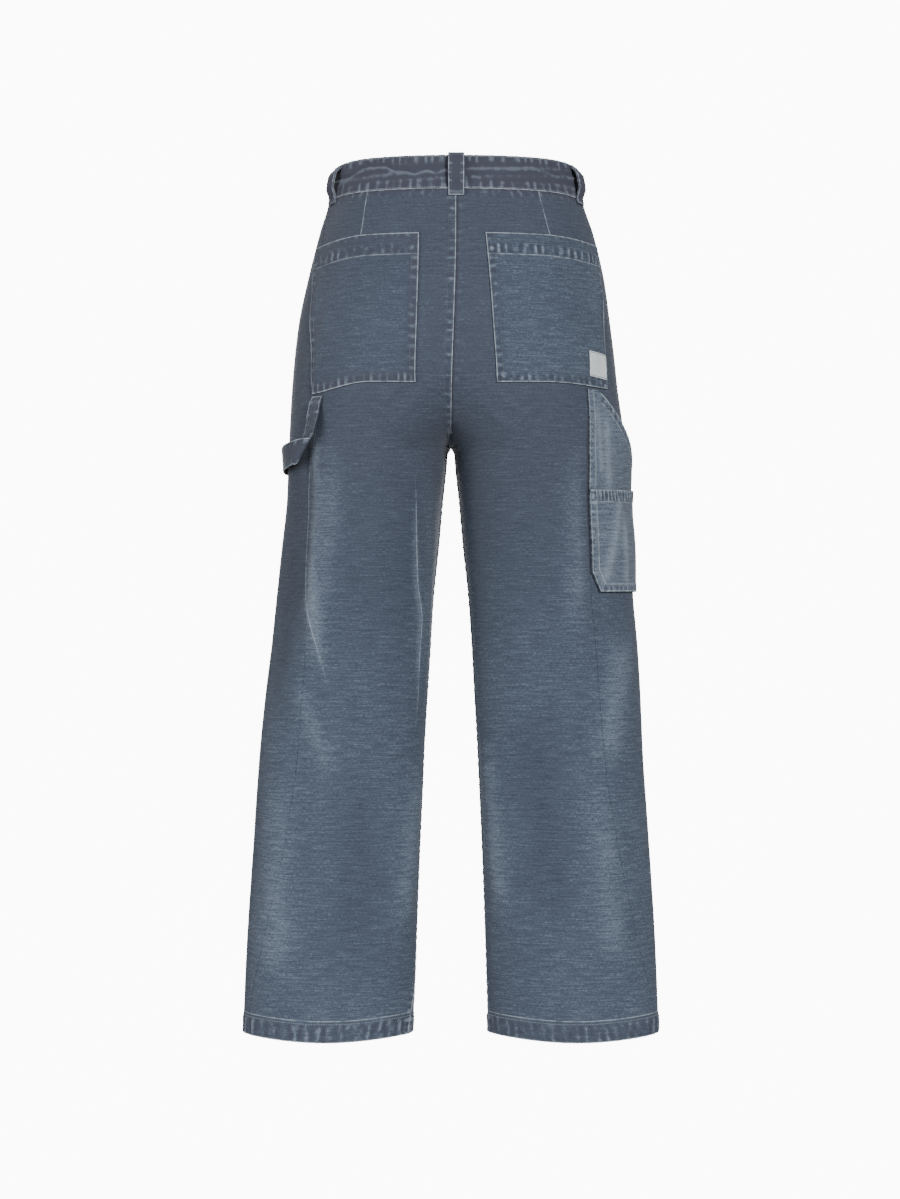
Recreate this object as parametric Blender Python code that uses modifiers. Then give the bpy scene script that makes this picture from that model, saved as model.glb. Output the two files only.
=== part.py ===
"""Carpenter pants, filled out as worn and held up at the waist.

Metres, +Z up. The front faces -Y and the wearer's left leg is on +X. The origin is the middle of the
waist opening, halfway up the waistband. Every piece of cloth is a wall on one shape, the body surface.
A place on that surface is a side, a height and a number called around, which runs from -1 at the front
centre seam or inseam, past 0 at the outermost point of the hip or leg, to 1 at the back seam.
"""

import math
from collections import namedtuple

import bmesh
import bpy
import numpy as np
from mathutils import Matrix, Vector

MM = 0.001
LEFT, RIGHT = 1, -1
SIDE_NAMES = {LEFT: "left", RIGHT: "right"}

# Cloth thicknesses and the clearances between pieces
WALL = 1.6 * MM
BAND_WALL = 3.0 * MM
BAND_PROUD = 1.0 * MM
SEAM_GAP = 0.3 * MM
PATCH_GAP = 0.8 * MM
HEM_STEP = 0.9 * MM

# Waist, crotch and hem levels
WAIST_TOP = 20 * MM
WAIST_SEAM = -20 * MM
SEAT_LEVEL = -200 * MM
CROTCH_LEVEL = -306 * MM
CROTCH_DEPTH = 5 * MM
HEM_LEVEL = -984 * MM
HEM_HEIGHT = 24 * MM
FRONT_DROP = 25 * MM
SIDE_DROP = 4 * MM
HEM_TILT = 6 * MM
LEG_LEAN = 6 * MM
SIDE_DEPTH = 3 * MM
ROUNDNESS = 2.15

# One row for each level, in millimetres: how far out each leg reaches, where its inner edge is, and
# how far the back and the front stand out and at which distance from the centre.
Section = namedtuple("Section", "height outer_left outer_right inner back back_x front front_x")
SECTIONS = [
    Section(22, 140, 140, 0, 96, 0, -95, 0),
    Section(-20, 147, 147, 0, 106, 0, -101, 0),
    Section(-60, 159, 160, 0, 119, 6, -107, 3),
    Section(-115, 172, 173.5, 0, 131, 20, -111, 10),
    Section(-160, 180, 181, 0, 137, 38, -112, 22),
    Section(-200, 183.5, 187.5, 0, 138, 56, -112, 36),
    Section(-240, 185.5, 193, 0, 135, 72, -111, 54),
    Section(-280, 187, 199.5, 0, 127, 84, -110, 72),
    Section(-306, 188, 202.5, 0.15, 120, 90, -109, 82),
    Section(-313, 188.2, 203, 4.2, 118, 91, -109, 84),
    Section(-330, 189, 204, 5.6, 114, 94, -108, 90),
    Section(-366, 190.5, 206, 9.5, 105, 98, -105, 96),
    Section(-422, 196.5, 210, 14.5, 95, 104, -100, 102),
    Section(-478, 202.5, 212, 20.5, 86, 111, -94, 108),
    Section(-534, 208.5, 217, 24.5, 79, 117, -87, 114),
    Section(-590, 215.5, 220.5, 27.5, 74, 121, -80, 120),
    Section(-660, 222.5, 223.5, 31.5, 69, 127, -73, 127),
    Section(-770, 230, 231, 36.5, 64, 133, -65, 134),
    Section(-883, 237.5, 238, 40.5, 61, 139, -59, 140),
    Section(-1000, 242.5, 242.5, 44, 60, 143, -54, 143),
]

# The largest folds: how far behind the outermost line each starts and ends, from where to where it
# runs, how wide it is and how far it rises, in millimetres. A fold that sinks has a negative rise.
Fold = namedtuple("Fold", "side behind_top behind_bottom top bottom width rise")
FOLDS = [
    Fold(LEFT, 124, 90, -262, -610, 18, 3.5),
    Fold(LEFT, 66, 40, -300, -640, 22, -4.0),
    Fold(LEFT, 74, 122, -560, -700, 16, 3.0),
    Fold(LEFT, 245, 240, -300, -620, 18, 3.0),
    Fold(LEFT, 232, 212, -640, -900, 18, 3.0),
    Fold(LEFT, 158, 156, -640, -930, 32, -2.5),
    Fold(LEFT, 56, 62, -650, -960, 24, 3.0),
    Fold(RIGHT, 132, 116, -280, -560, 18, 2.5),
    Fold(RIGHT, 54, 76, -500, -700, 20, 4.0),
    Fold(RIGHT, 92, 76, -660, -930, 22, 3.0),
    Fold(RIGHT, 158, 152, -560, -900, 32, -2.5),
    Fold(RIGHT, 224, 212, -610, -880, 18, 3.5),
    Fold(LEFT, -150, -130, -240, -560, 24, 3.0),
    Fold(LEFT, -130, -138, -620, -940, 26, 3.5),
    Fold(RIGHT, -150, -132, -250, -580, 24, 3.0),
    Fold(RIGHT, -134, -124, -600, -930, 26, 3.5),
]

# Where the outseam lies: how far behind the outermost line, in millimetres. It runs straight down, so
# it shows from behind at the thigh.
Seam = namedtuple("Seam", "height left right")
OUTSEAM = [
    Seam(-20, 20, 20),
    Seam(-70, 46, 46),
    Seam(-120, 79, 79),
    Seam(-180, 103, 104),
    Seam(-250, 114.5, 116),
    Seam(-300, 104, 115),
    Seam(-332, 96, 112),
    Seam(-404, 85.5, 105),
    Seam(-482, 84, 97),
    Seam(-552, 84, 90.5),
    Seam(-666, 80, 81.5),
    Seam(-780, 66, 66),
    Seam(-874, 47, 48),
    Seam(-954, 27, 25),
    Seam(-1000, 19, 17),
]

# How many cells each panel has across. The front's are narrower near the outseam.
BACK_COLUMNS = 19
FRONT_COLUMNS = 25
FRONT_CROWDING = 0.3
TRUNK_ROWS, CROTCH_ROWS, LEG_ROWS = 7, 6, 17
CROTCH_DROP = 140 * MM

# Back pockets: distances of the corners from the centre back seam, and how far the outer ends sag
Pocket = namedtuple("Pocket", "side inner_top inner_bottom outer_top outer_bottom sag_top sag_bottom")
POCKETS = [
    Pocket(LEFT, 41, 41, 198, 169, 8, 11),
    Pocket(RIGHT, 32, 51, 199, 198, 5, 4),
]
POCKET_TOP, POCKET_BOTTOM = -71 * MM, -240 * MM
POCKET_HEM = 25 * MM

# Tool pocket on the right leg, from the outseam forward: heights of its edges at these distances
TOOL_WIDTH = 135 * MM
Edge = namedtuple("Edge", "ahead top bottom")
TOOL_EDGES = [
    Edge(0, -245.5, -450),
    Edge(10, -245.5, -474),
    Edge(18, -245.5, -474),
    Edge(27, -252, -474),
    Edge(73, -296, -474),
    Edge(99, -318, -474),
    Edge(125, -336, -474),
    Edge(135, -342, -452),
]
TOOL_LOWER_TOP = -357 * MM
TOOL_LOWER_HEM = 15 * MM
TOOL_GAPE = 6.5 * MM
TOOL_GAPE_DEPTH = 80 * MM

# Hammer loop: its wall, and where its two ends are sewn down: how far behind the outermost line the
# rear and front edges lie, and their heights, in millimetres
STRAP_WALL = 1.5 * MM
StrapEnd = namedtuple("StrapEnd", "rear_behind front_behind rear_height front_height")
STRAP_START = StrapEnd(117, 100, -256, -256)
STRAP_FINISH = StrapEnd(-104, -104, -318, -345)

# Belt loops
LOOP_WIDTH = 18 * MM
LOOP_WALL = 2.0 * MM

# Fly and button
FLY_WIDTH, FLY_OVERLAP, FLY_BOTTOM = 40 * MM, 6 * MM, -200 * MM
BAND_LAP = 20 * MM
LAP_RAMP = 30 * MM
BUTTON_RADIUS = 8.5 * MM

# Label on the right back pocket
LABEL_INNER, LABEL_OUTER, LABEL_WALL = 162 * MM, 193 * MM, 1.0 * MM
LABEL_TOP, LABEL_BOTTOM, LABEL_TILT = -202 * MM, -231 * MM, 3 * MM

CURVE_STEPS = 96


# Helpers for smooth changes

def ease(share):
    """0 below 0, 1 above 1, and smooth in between."""
    share = np.clip(share, 0.0, 1.0)
    return share * share * (3 - 2 * share)


def smooth_through(at, knots, values):
    """A curve through the given values that doesn't overshoot between them."""
    knots, values = np.asarray(knots, float), np.asarray(values, float)
    steps = np.diff(knots)
    slopes = np.diff(values) / steps
    tangents = np.zeros_like(values)
    tangents[0], tangents[-1] = slopes[0], slopes[-1]
    before, after = slopes[:-1], slopes[1:]
    same_way = before * after > 0
    mean = 2 * before * after / np.where(same_way, before + after, 1)
    tangents[1:-1] = np.where(same_way, mean, 0)
    at = np.clip(at, knots[0], knots[-1])
    low = np.clip(np.searchsorted(knots, at) - 1, 0, len(steps) - 1)
    step = steps[low]
    t = (at - knots[low]) / step
    return (
        values[low] * (1 + 2 * t) * (1 - t) ** 2
        + tangents[low] * step * t * (1 - t) ** 2
        + values[low + 1] * t * t * (3 - 2 * t)
        + tangents[low + 1] * step * t * t * (t - 1)
    )


def section(name, height):
    """One column of the section table at these heights, in metres."""
    rows = sorted(SECTIONS)
    knots = [row.height * MM for row in rows]
    values = [getattr(row, name) * MM for row in rows]
    return smooth_through(height, knots, values)


# The body surface

def seam_depth(height, column):
    """How far back, or forward, the centre seam lies: straight at first, then a quarter ellipse to the crotch."""
    standing = section(column, np.maximum(height, SEAT_LEVEL))
    cleft = 0.97 + 0.03 * ease((height - SEAT_LEVEL) / (120 * MM))
    drop = np.clip((SEAT_LEVEL - height) / (SEAT_LEVEL - CROTCH_LEVEL), 0, 1)
    return CROTCH_DEPTH + (standing * cleft - CROTCH_DEPTH) * np.sqrt(1 - drop * drop)


def half_curve(side, height, column):
    """Points along one level, from the outermost point round the back or the front to the inner edge."""
    height = np.asarray(height, float)[:, None]
    outer = section("outer_left" if side == LEFT else "outer_right", height)
    inner = np.maximum(section("inner", height), SEAM_GAP / 2)
    far = section(column, height)
    far_x = section(column + "_x", height) + SEAM_GAP / 2
    end = seam_depth(height, column)
    turn = np.linspace(0, math.pi / 2, CURVE_STEPS // 2)[None, :]
    power = 2 / ROUNDNESS
    first_x = far_x + (outer - far_x) * np.cos(turn) ** power
    first_y = SIDE_DEPTH + (far - SIDE_DEPTH) * np.sin(turn) ** power
    run = np.linspace(0, 1, CURVE_STEPS // 2 + 1)[None, 1:]
    soft_x = far_x - (far_x - inner) * run
    soft_y = end + (far - end) * (1 + np.cos(math.pi * run)) / 2
    reach = np.arccos(np.clip((end - CROTCH_DEPTH) / (far - CROTCH_DEPTH), 0, 1 - 1e-6))
    round_x = far_x - (far_x - inner) * np.sin(run * reach) / np.sin(reach)
    round_y = CROTCH_DEPTH + (far - CROTCH_DEPTH) * np.cos(run * reach)
    roundness = ease((SEAT_LEVEL / 2 - height) / (90 * MM))
    second_x = soft_x + (round_x - soft_x) * roundness
    second_y = soft_y + (round_y - soft_y) * roundness
    x = np.concatenate([first_x, second_x], axis=1)
    y = np.concatenate([first_y, second_y], axis=1)
    lengths = np.hypot(np.diff(x, axis=1), np.diff(y, axis=1))
    walked = np.concatenate([np.zeros((len(x), 1)), np.cumsum(lengths, axis=1)], axis=1)
    return x, y, walked


def girth_of(side, height, column):
    """The length of cloth from the outermost line to the back or front seam at these heights."""
    flat = np.ravel(height)
    return half_curve(side, flat, column)[2][:, -1].reshape(np.shape(height))


def unwrapped(around):
    """Past the inseam, around goes on from the other seam."""
    return np.where(around < -1, around + 2, np.where(around > 1, around - 2, around))


def bare_points(side, behind, height):
    """Points of the surface without its folds, at a distance behind the outermost line, or before it."""
    places = np.zeros((len(behind), 3))
    lean = LEG_LEAN * ease((-60 * MM - height) / (240 * MM))
    for column, chosen in (("back", behind >= 0), ("front", behind < 0)):
        if not chosen.any():
            continue
        x, y, walked = half_curve(side, height[chosen], column)
        want = np.abs(behind[chosen])
        low = np.clip((walked <= want[:, None]).sum(axis=1) - 1, 0, walked.shape[1] - 2)
        row = np.arange(len(want))
        share = (want - walked[row, low]) / np.maximum(walked[row, low + 1] - walked[row, low], 1e-9)
        places[chosen, 0] = side * (x[row, low] + share * (x[row, low + 1] - x[row, low]))
        places[chosen, 1] = y[row, low] + share * (y[row, low + 1] - y[row, low])
    places[:, 0] += lean
    places[:, 2] = height
    return places


def fold_rise(side, behind, height):
    """How far the folds lift the cloth."""
    rise = np.zeros(len(behind))
    for fold in FOLDS:
        if fold.side != side:
            continue
        down = (fold.top * MM - height) / ((fold.top - fold.bottom) * MM)
        line = (fold.behind_top + (fold.behind_bottom - fold.behind_top) * ease(down)) * MM
        across = (behind - line) / (fold.width * MM)
        along = ease(down / 0.3) * ease((1 - down) / 0.3)
        rise += fold.rise * MM * np.exp(-across * across) * along
    return rise


def surface_at(side, behind, height, lift=0.0):
    """Points of the folded surface, moved out along its normals by lift. The shapes of the inputs are kept."""
    behind, height, lift = np.broadcast_arrays(
        np.asarray(behind, float), np.asarray(height, float), np.asarray(lift, float)
    )
    shape = behind.shape
    behind, height = behind.ravel(), height.ravel()
    back, front = girth_of(side, height, "back"), girth_of(side, height, "front")
    past = (behind < -front - 1e-6) & (height < CROTCH_LEVEL + 1e-6)
    behind = np.where(past, back + front + behind, behind)
    step = 1.5 * MM
    across = bare_points(side, behind + step, height) - bare_points(side, behind - step, height)
    lower = np.where((height < CROTCH_LEVEL) & (height > CROTCH_LEVEL - step), CROTCH_LEVEL - step, height)
    downward = bare_points(side, behind, lower + step * 0.5) - bare_points(side, behind, lower - step * 0.5)
    normal = np.cross(across, downward) * side
    normal /= np.linalg.norm(normal, axis=1)[:, None]
    move = fold_rise(side, behind, height) + lift.ravel()
    return (bare_points(side, behind, height) + normal * move[:, None]).reshape(shape + (3,))


def surface(side, around, height, lift=0.0):
    """The same, with the place given by its share of the way round to the back or front seam."""
    around, height = np.broadcast_arrays(np.asarray(around, float), np.asarray(height, float))
    around = unwrapped(around)
    girth = np.where(around >= 0, girth_of(side, height, "back"), girth_of(side, height, "front"))
    return surface_at(side, around * girth, height, lift)


def waist_drop(around, height):
    """The waist is lower at the sides than at the back, and lowest in front. The drop fades out at seat level."""
    fade = ease((height - SEAT_LEVEL) / (WAIST_SEAM - SEAT_LEVEL))
    front = FRONT_DROP * (1 - np.cos(math.pi * np.clip(-around, 0, 1))) / 2
    side = SIDE_DROP * (1 + np.cos(math.pi * np.clip(around / 0.45, -1, 1))) / 2
    return -(front + side) * fade


def hem_drop(around, height):
    """The hem is lower at the back than at the front."""
    fade = ease((-880 * MM - height) / (100 * MM))
    return -HEM_TILT * np.sin(math.pi * around) * np.abs(np.sin(math.pi * around)) * fade


def around_from_back(side, distance, height):
    """Around at a distance along the cloth from the centre back seam or inseam."""
    back, front = girth_of(side, height, "back"), girth_of(side, height, "front")
    return np.where(distance <= back, 1 - distance / back, -(distance - back) / front)


def outseam_behind(side, height):
    """How far the outseam lies behind the outermost line."""
    rows = sorted(OUTSEAM)
    behind = [getattr(row, SIDE_NAMES[side]) * MM for row in rows]
    return smooth_through(height, [row.height * MM for row in rows], behind)


def around_ahead_of_outseam(side, ahead, height):
    """Around at a distance along the cloth forward from the outseam."""
    behind = outseam_behind(side, height) - ahead
    back, front = girth_of(side, height, "back"), girth_of(side, height, "front")
    return np.where(behind >= 0, behind / back, behind / front)


def inseam_swing(side, height):
    """How far the inseam lies behind the innermost line. The left one swings back near the hem."""
    swing = 22 * MM if side == LEFT else 5 * MM
    return swing * ease((-900 * MM - height) / (90 * MM))


# Meshes from rows of points

def material_named(name, colour, roughness, metallic=0.0):
    found = bpy.data.materials.get(name)
    if found:
        return found
    made = bpy.data.materials.new(name)
    made.use_nodes = True
    shader = made.node_tree.nodes["Principled BSDF"]
    shader.inputs["Base Color"].default_value = (*colour, 1)
    shader.inputs["Roughness"].default_value = roughness
    shader.inputs["Metallic"].default_value = metallic
    return made


def canvas():
    return material_named("washed_canvas", (0.094, 0.129, 0.165), 0.9)


def label_tape():
    return material_named("label_tape", (0.66, 0.70, 0.72), 0.8)


def button_metal():
    return material_named("button_metal", (0.24, 0.22, 0.20), 0.4, 1.0)


def put_in_scene(name, mesh, material):
    mesh.materials.append(material)
    mesh.shade_smooth()
    mesh.set_sharp_from_angle(angle=math.radians(50))
    made = bpy.data.objects.new(name, mesh)
    bpy.data.collections["carpenter_pants"].objects.link(made)
    return made


def wall(name, outer, inner, material):
    """A closed sheet between two grids of points, row by row. Each cell is cut along its shorter diagonal."""
    rows, columns = outer.shape[:2]
    points = np.concatenate([outer.reshape(-1, 3), inner.reshape(-1, 3)])
    behind = rows * columns

    def at(row, column):
        return row * columns + column

    faces = []
    for row in range(rows - 1):
        for column in range(columns - 1):
            cell = [at(row, column), at(row, column + 1), at(row + 1, column + 1), at(row + 1, column)]
            first = np.linalg.norm(points[cell[0]] - points[cell[2]])
            second = np.linalg.norm(points[cell[1]] - points[cell[3]])
            a, b, c, d = cell if first <= second else cell[1:] + cell[:1]
            faces += [[a, b, c], [a, c, d]]
            faces += [[behind + a, behind + c, behind + b], [behind + a, behind + d, behind + c]]
    border = [at(0, column) for column in range(columns)]
    border += [at(row, columns - 1) for row in range(1, rows)]
    border += [at(rows - 1, column) for column in range(columns - 2, -1, -1)]
    border += [at(row, 0) for row in range(rows - 2, 0, -1)]
    for here, following in zip(border, border[1:] + border[:1]):
        faces.append([following, here, behind + here, behind + following])
    mesh = bpy.data.meshes.new(name)
    mesh.from_pydata(points.tolist(), [], faces)
    shape = bmesh.new()
    shape.from_mesh(mesh)
    bmesh.ops.recalc_face_normals(shape, faces=shape.faces)
    shape.to_mesh(mesh)
    shape.free()
    return put_in_scene(name, mesh, material)


def patch(name, side, around, height, lift, thickness, material):
    """A piece that lies on a panel: the panel's own points, moved out."""
    outer = surface(side, around, height, lift + thickness)
    inner = surface(side, around, height, lift)
    return wall(name, outer, inner, material)


# Front and back panels

def row_levels():
    """Heights of the panel rows at the outermost line and at the inner edge."""
    trunk = np.linspace(WAIST_SEAM - SEAM_GAP, SEAT_LEVEL, TRUNK_ROWS + 1)
    turn = np.arange(1, CROTCH_ROWS + 1) / CROTCH_ROWS
    crotch_outer = SEAT_LEVEL - CROTCH_DROP * turn
    crotch_inner = SEAT_LEVEL + (CROTCH_LEVEL - SEAT_LEVEL) * np.sin(math.pi / 2 * turn)
    hem_line = HEM_LEVEL + HEM_HEIGHT
    down = np.arange(1, LEG_ROWS + 1) / LEG_ROWS
    leg_outer = crotch_outer[-1] + (hem_line - crotch_outer[-1]) * down**1.25
    leg_inner = CROTCH_LEVEL + (hem_line - CROTCH_LEVEL) * down**1.5
    hem_rows = [hem_line - 1.2 * MM, (hem_line + HEM_LEVEL) / 2, HEM_LEVEL]
    outer = np.concatenate([trunk, crotch_outer, leg_outer, hem_rows])
    inner = np.concatenate([trunk, crotch_inner, leg_inner, hem_rows])
    return outer, inner


def panel(side, face):
    """One leg panel from the waist seam to the hem, with its folded hem standing proud."""
    outer_level, inner_level = row_levels()
    is_back = face == "back"
    share = np.linspace(0, 1, (BACK_COLUMNS if is_back else FRONT_COLUMNS) + 1)
    if not is_back:
        share = share * (1 - FRONT_CROWDING) + FRONT_CROWDING * share * share
    share = share[None, :]
    seam = (outseam_behind(side, outer_level) / girth_of(side, outer_level, "back"))[:, None]
    nominal = seam + ((1.0 if is_back else -1.0) - seam) * share
    level = outer_level[:, None] + (inner_level - outer_level)[:, None] * nominal**2
    below = np.where(inner_level <= CROTCH_LEVEL + 1e-9, SEAM_GAP / 2, 0)
    swing = inseam_swing(side, inner_level)
    around = nominal
    for _ in range(3):
        height = level + waist_drop(around, level) + hem_drop(around, level)
        start = outseam_behind(side, height[:, 0])
        if is_back:
            start = start + SEAM_GAP / 2
            end = girth_of(side, height[:, -1], "back") - swing - below
        else:
            start = start - SEAM_GAP / 2
            end = -girth_of(side, height[:, -1], "front") - swing + below
        behind = start[:, None] + (end - start)[:, None] * share
        girth = np.where(behind >= 0, girth_of(side, height, "back"), girth_of(side, height, "front"))
        around = np.where(np.abs(nominal) == 1, nominal, np.clip(behind / girth, -1.2, 1))
    lift = np.where(np.arange(len(outer_level)) >= len(outer_level) - 3, HEM_STEP, 0.0)[:, None]
    outer = surface_at(side, behind, height, lift)
    inner = surface_at(side, behind, height, -WALL)
    return wall(f"{face}_{SIDE_NAMES[side]}", outer, inner, canvas())


# Waistband, fly, button and belt loops

def band_columns():
    """Places along the waistband from the tip of the overlap, round the body, to the end of the underlap.

    Each is a side, an around and a lift. The first stretch runs over the last one.
    """
    level = np.array([0.0])
    girth = {side: float(girth_of(side, level, "front")[0]) for side in (LEFT, RIGHT)}
    over = BAND_WALL + PATCH_GAP
    lap = BAND_LAP / girth[RIGHT]
    places = [(RIGHT, -1 + lap * share, over) for share in (1, 0.5)]
    for step in range(0, 33):
        around = -1 + step / 16
        beyond = (around + 1) * girth[LEFT] - BAND_LAP - 2 * MM
        places.append((LEFT, around, over * float(1 - ease(beyond / LAP_RAMP))))
    places += [(RIGHT, 1 - step / 16, 0.0) for step in range(1, 33)]
    places += [(LEFT, -1 + BAND_LAP / girth[LEFT] * share, 0.0) for share in (0.5, 1)]
    return places


def waistband():
    levels = np.array([WAIST_TOP, (WAIST_TOP + WAIST_SEAM) / 2, WAIST_SEAM])
    places = band_columns()
    outer = np.zeros((len(levels), len(places), 3))
    inner = np.zeros_like(outer)
    for column, (side, around, lift) in enumerate(places):
        height = levels + waist_drop(np.full(3, around), np.full(3, 0.0))
        outer[:, column] = surface(side, np.full(3, around), height, BAND_PROUD + lift)
        inner[:, column] = surface(side, np.full(3, around), height, BAND_PROUD + lift - BAND_WALL)
    return wall("waistband", outer, inner, canvas())


def belt_loop(name, side, around, top, length, room):
    """A strap down the waistband that leaves this much room for a belt, sewn at both ends."""
    middle = surface(side, np.array([around]), np.array([0.0]))[0]
    nearby = surface(side, np.array([around - 0.02 * np.sign(around)]), np.array([0.0]))[0]
    per_metre = 0.02 / np.linalg.norm(nearby - middle)
    across = np.linspace(-0.5, 0.5, 3)[None, :] * LOOP_WIDTH
    share = np.array([0, 0.04, 0.12, 0.26, 0.42, 0.58, 0.70, 0.80, 0.88, 1.0])
    along = top - length * share
    proud = BAND_PROUD + PATCH_GAP
    bulge = np.array([0, 0, 0.5, 0.95, 1, 0.95, 0.6, 0.15, 0, 0]) * room
    rest = np.where(along > WAIST_SEAM, proud, PATCH_GAP + 0.3 * MM)
    arounds = around + across * per_metre * np.ones((len(along), 1))
    heights = along[:, None] + waist_drop(arounds, np.zeros_like(arounds))
    lift = (bulge + rest)[:, None]
    return wall(
        name,
        surface_over_centre(side, arounds, heights, lift + LOOP_WALL),
        surface_over_centre(side, arounds, heights, lift),
        canvas(),
    )


def surface_over_centre(side, around, height, lift):
    """The surface for a piece that may cross the centre seam: beyond it, the other side's points are used."""
    own = surface(side, np.clip(around, -1, 1), height, lift)
    over = np.where(around > 1, 2 - around, -2 - around)
    other = surface(-side, np.clip(over, -1, 1), height, lift)
    return np.where((np.abs(around) > 1)[..., None], other, own)


def fly():
    """The fly's outer layer on the left front, which laps over the centre seam. Its lower edge is curved."""
    share = np.linspace(0, 1, 7)[None, :]
    top = np.full(share.shape, -FRONT_DROP + WAIST_SEAM - 0.6 * MM)
    reach = -FLY_OVERLAP + (FLY_WIDTH + FLY_OVERLAP) * share
    curve = np.sqrt(np.clip(1 - np.clip(share * 1.0, 0, 1) ** 2.4, 0, 1))
    bottom = FLY_BOTTOM + (1 - curve) * 55 * MM
    down = np.linspace(0, 1, 13)[:, None]
    height = top + (bottom - top) * down
    reach = reach * np.ones_like(height)
    front = girth_of(LEFT, height, "front")
    around = -1 + reach / front
    lift = PATCH_GAP * np.ones_like(height)
    outer = surface_over_centre(LEFT, around, height, lift + WALL)
    inner = surface_over_centre(LEFT, around, height, lift)
    return wall("fly", outer, inner, canvas())


def button():
    """A sewn-on jeans button: a turned disc with a raised rim and a hollow middle, on the waistband's overlap."""
    height = -FRONT_DROP
    over = BAND_PROUD + BAND_WALL + PATCH_GAP
    centre = surface(LEFT, np.array([-1.0]), np.array([height]), over + SEAM_GAP)[0]
    above = surface(LEFT, np.array([-1.0]), np.array([height + 5 * MM]), over + SEAM_GAP)[0]
    centre[0] = 0.0
    tilt = math.atan2(above[1] - centre[1], 5 * MM)
    radius = BUTTON_RADIUS
    profile = [
        (0, 2.0 * MM),
        (radius * 0.55, 2.2 * MM),
        (radius * 0.72, 3.2 * MM),
        (radius * 0.9, 3.2 * MM),
        (radius, 2.4 * MM),
        (radius * 0.96, 1.6 * MM),
        (radius * 0.5, 1.2 * MM),
        (radius * 0.45, 0.0),
        (0, 0.0),
    ]
    mesh = bpy.data.meshes.new("button")
    edges = [(here, here + 1) for here in range(len(profile) - 1)]
    mesh.from_pydata([(x, 0, z) for x, z in profile], edges, [])
    made = put_in_scene("button", mesh, button_metal())
    turn = made.modifiers.new("turned", "SCREW")
    turn.steps = turn.render_steps = 24
    turn.use_merge_vertices = True
    turn.merge_threshold = 0.00001
    turn.use_smooth_shade = True
    outward = Vector((0, -math.cos(tilt), math.sin(tilt)))
    made.matrix_world = Matrix.Translation(Vector(centre)) @ outward.to_track_quat("Z", "Y").to_matrix().to_4x4()
    return made


# Patch pockets, tool pocket, label and hammer loop

def back_pocket(pocket):
    hem_share = POCKET_HEM / (POCKET_TOP - POCKET_BOTTOM)
    down = np.concatenate([[0, hem_share / 2, hem_share, hem_share + 0.007], np.linspace(hem_share, 1, 11)[1:]])
    down = down[:, None] * np.ones((1, 12))
    share = np.linspace(0, 1, 12)[None, :]
    inner = pocket.inner_top + (pocket.inner_bottom - pocket.inner_top) * down
    outer = pocket.outer_top + (pocket.outer_bottom - pocket.outer_top) * down
    distance = (inner + (outer - inner) * share) * MM
    sag = pocket.sag_top + (pocket.sag_bottom - pocket.sag_top) * down
    height = POCKET_TOP + (POCKET_BOTTOM - POCKET_TOP) * down - sag * MM * ease((share - 0.4) / 0.6)
    around = around_from_back(pocket.side, distance, height)
    thickness = np.where(down <= hem_share + 1e-6, WALL + HEM_STEP, WALL)
    name = f"back_pocket_{SIDE_NAMES[pocket.side]}"
    return patch(name, pocket.side, around, height, PATCH_GAP, thickness, canvas())


def tool_edge(column, ahead):
    """Heights of the tool pocket's top or bottom edge at these distances from the outseam."""
    knots = [edge.ahead * MM for edge in TOOL_EDGES]
    return np.interp(ahead, knots, [getattr(edge, column) * MM for edge in TOOL_EDGES])


def tool_columns():
    """Distances from the outseam, with one at each corner of the outline."""
    return np.array([0.3, 10, 18, 27, 38, 50, 61.5, 73, 86, 99, 112, 125, 135])[None, :] * MM


def tool_gape(ahead, height):
    """How far the large pocket stands away from the leg: most at its mouth."""
    along = np.clip((ahead - 18 * MM) / (TOOL_WIDTH - 18 * MM), 0, 1)
    below = (tool_edge("top", ahead) - height) / TOOL_GAPE_DEPTH
    return TOOL_GAPE * np.sin(math.pi * along) * ease(1 - below)


def tool_pocket_upper():
    """The large tool pocket, sewn into the outseam. Its slanted mouth stands away from the leg."""
    ahead = tool_columns()
    top, bottom = tool_edge("top", ahead), tool_edge("bottom", ahead)
    down = np.linspace(0, 1, 13)[:, None]
    height = top + (bottom - top) * down
    around = around_ahead_of_outseam(RIGHT, ahead, height)
    lift = PATCH_GAP + tool_gape(ahead, height)
    return patch("tool_pocket_upper", RIGHT, around, height, lift, WALL, canvas())


def tool_pocket_lower():
    """The smaller tool pocket on top of the large one, pushed out in soft upright folds."""
    ahead = tool_columns()
    bottom = tool_edge("bottom", ahead)
    hem_share = TOOL_LOWER_HEM / (TOOL_LOWER_TOP - bottom)
    run = np.linspace(0, 1, 9)[:, None]
    lower = hem_share + 0.01 + (1 - hem_share - 0.01) * run
    down = np.concatenate([np.zeros_like(bottom), hem_share / 2, hem_share, lower])
    height = TOOL_LOWER_TOP + (bottom - TOOL_LOWER_TOP) * down
    around = around_ahead_of_outseam(RIGHT, ahead, height)
    share = ahead / TOOL_WIDTH
    swell = np.sin(math.pi * share) * np.sin(math.pi * np.clip((down - 0.1) / 0.9, 0, 1))
    folds = 1 + 0.6 * np.cos(2 * math.pi * (share * 2.4 - down * 0.35))
    lift = 2 * PATCH_GAP + WALL + tool_gape(ahead, height) + 1.8 * MM * swell * folds
    thickness = np.where(np.arange(len(down))[:, None] < 3, WALL + 0.6 * MM, WALL)
    return patch("tool_pocket_lower", RIGHT, around, height, lift, thickness, canvas())


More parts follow.
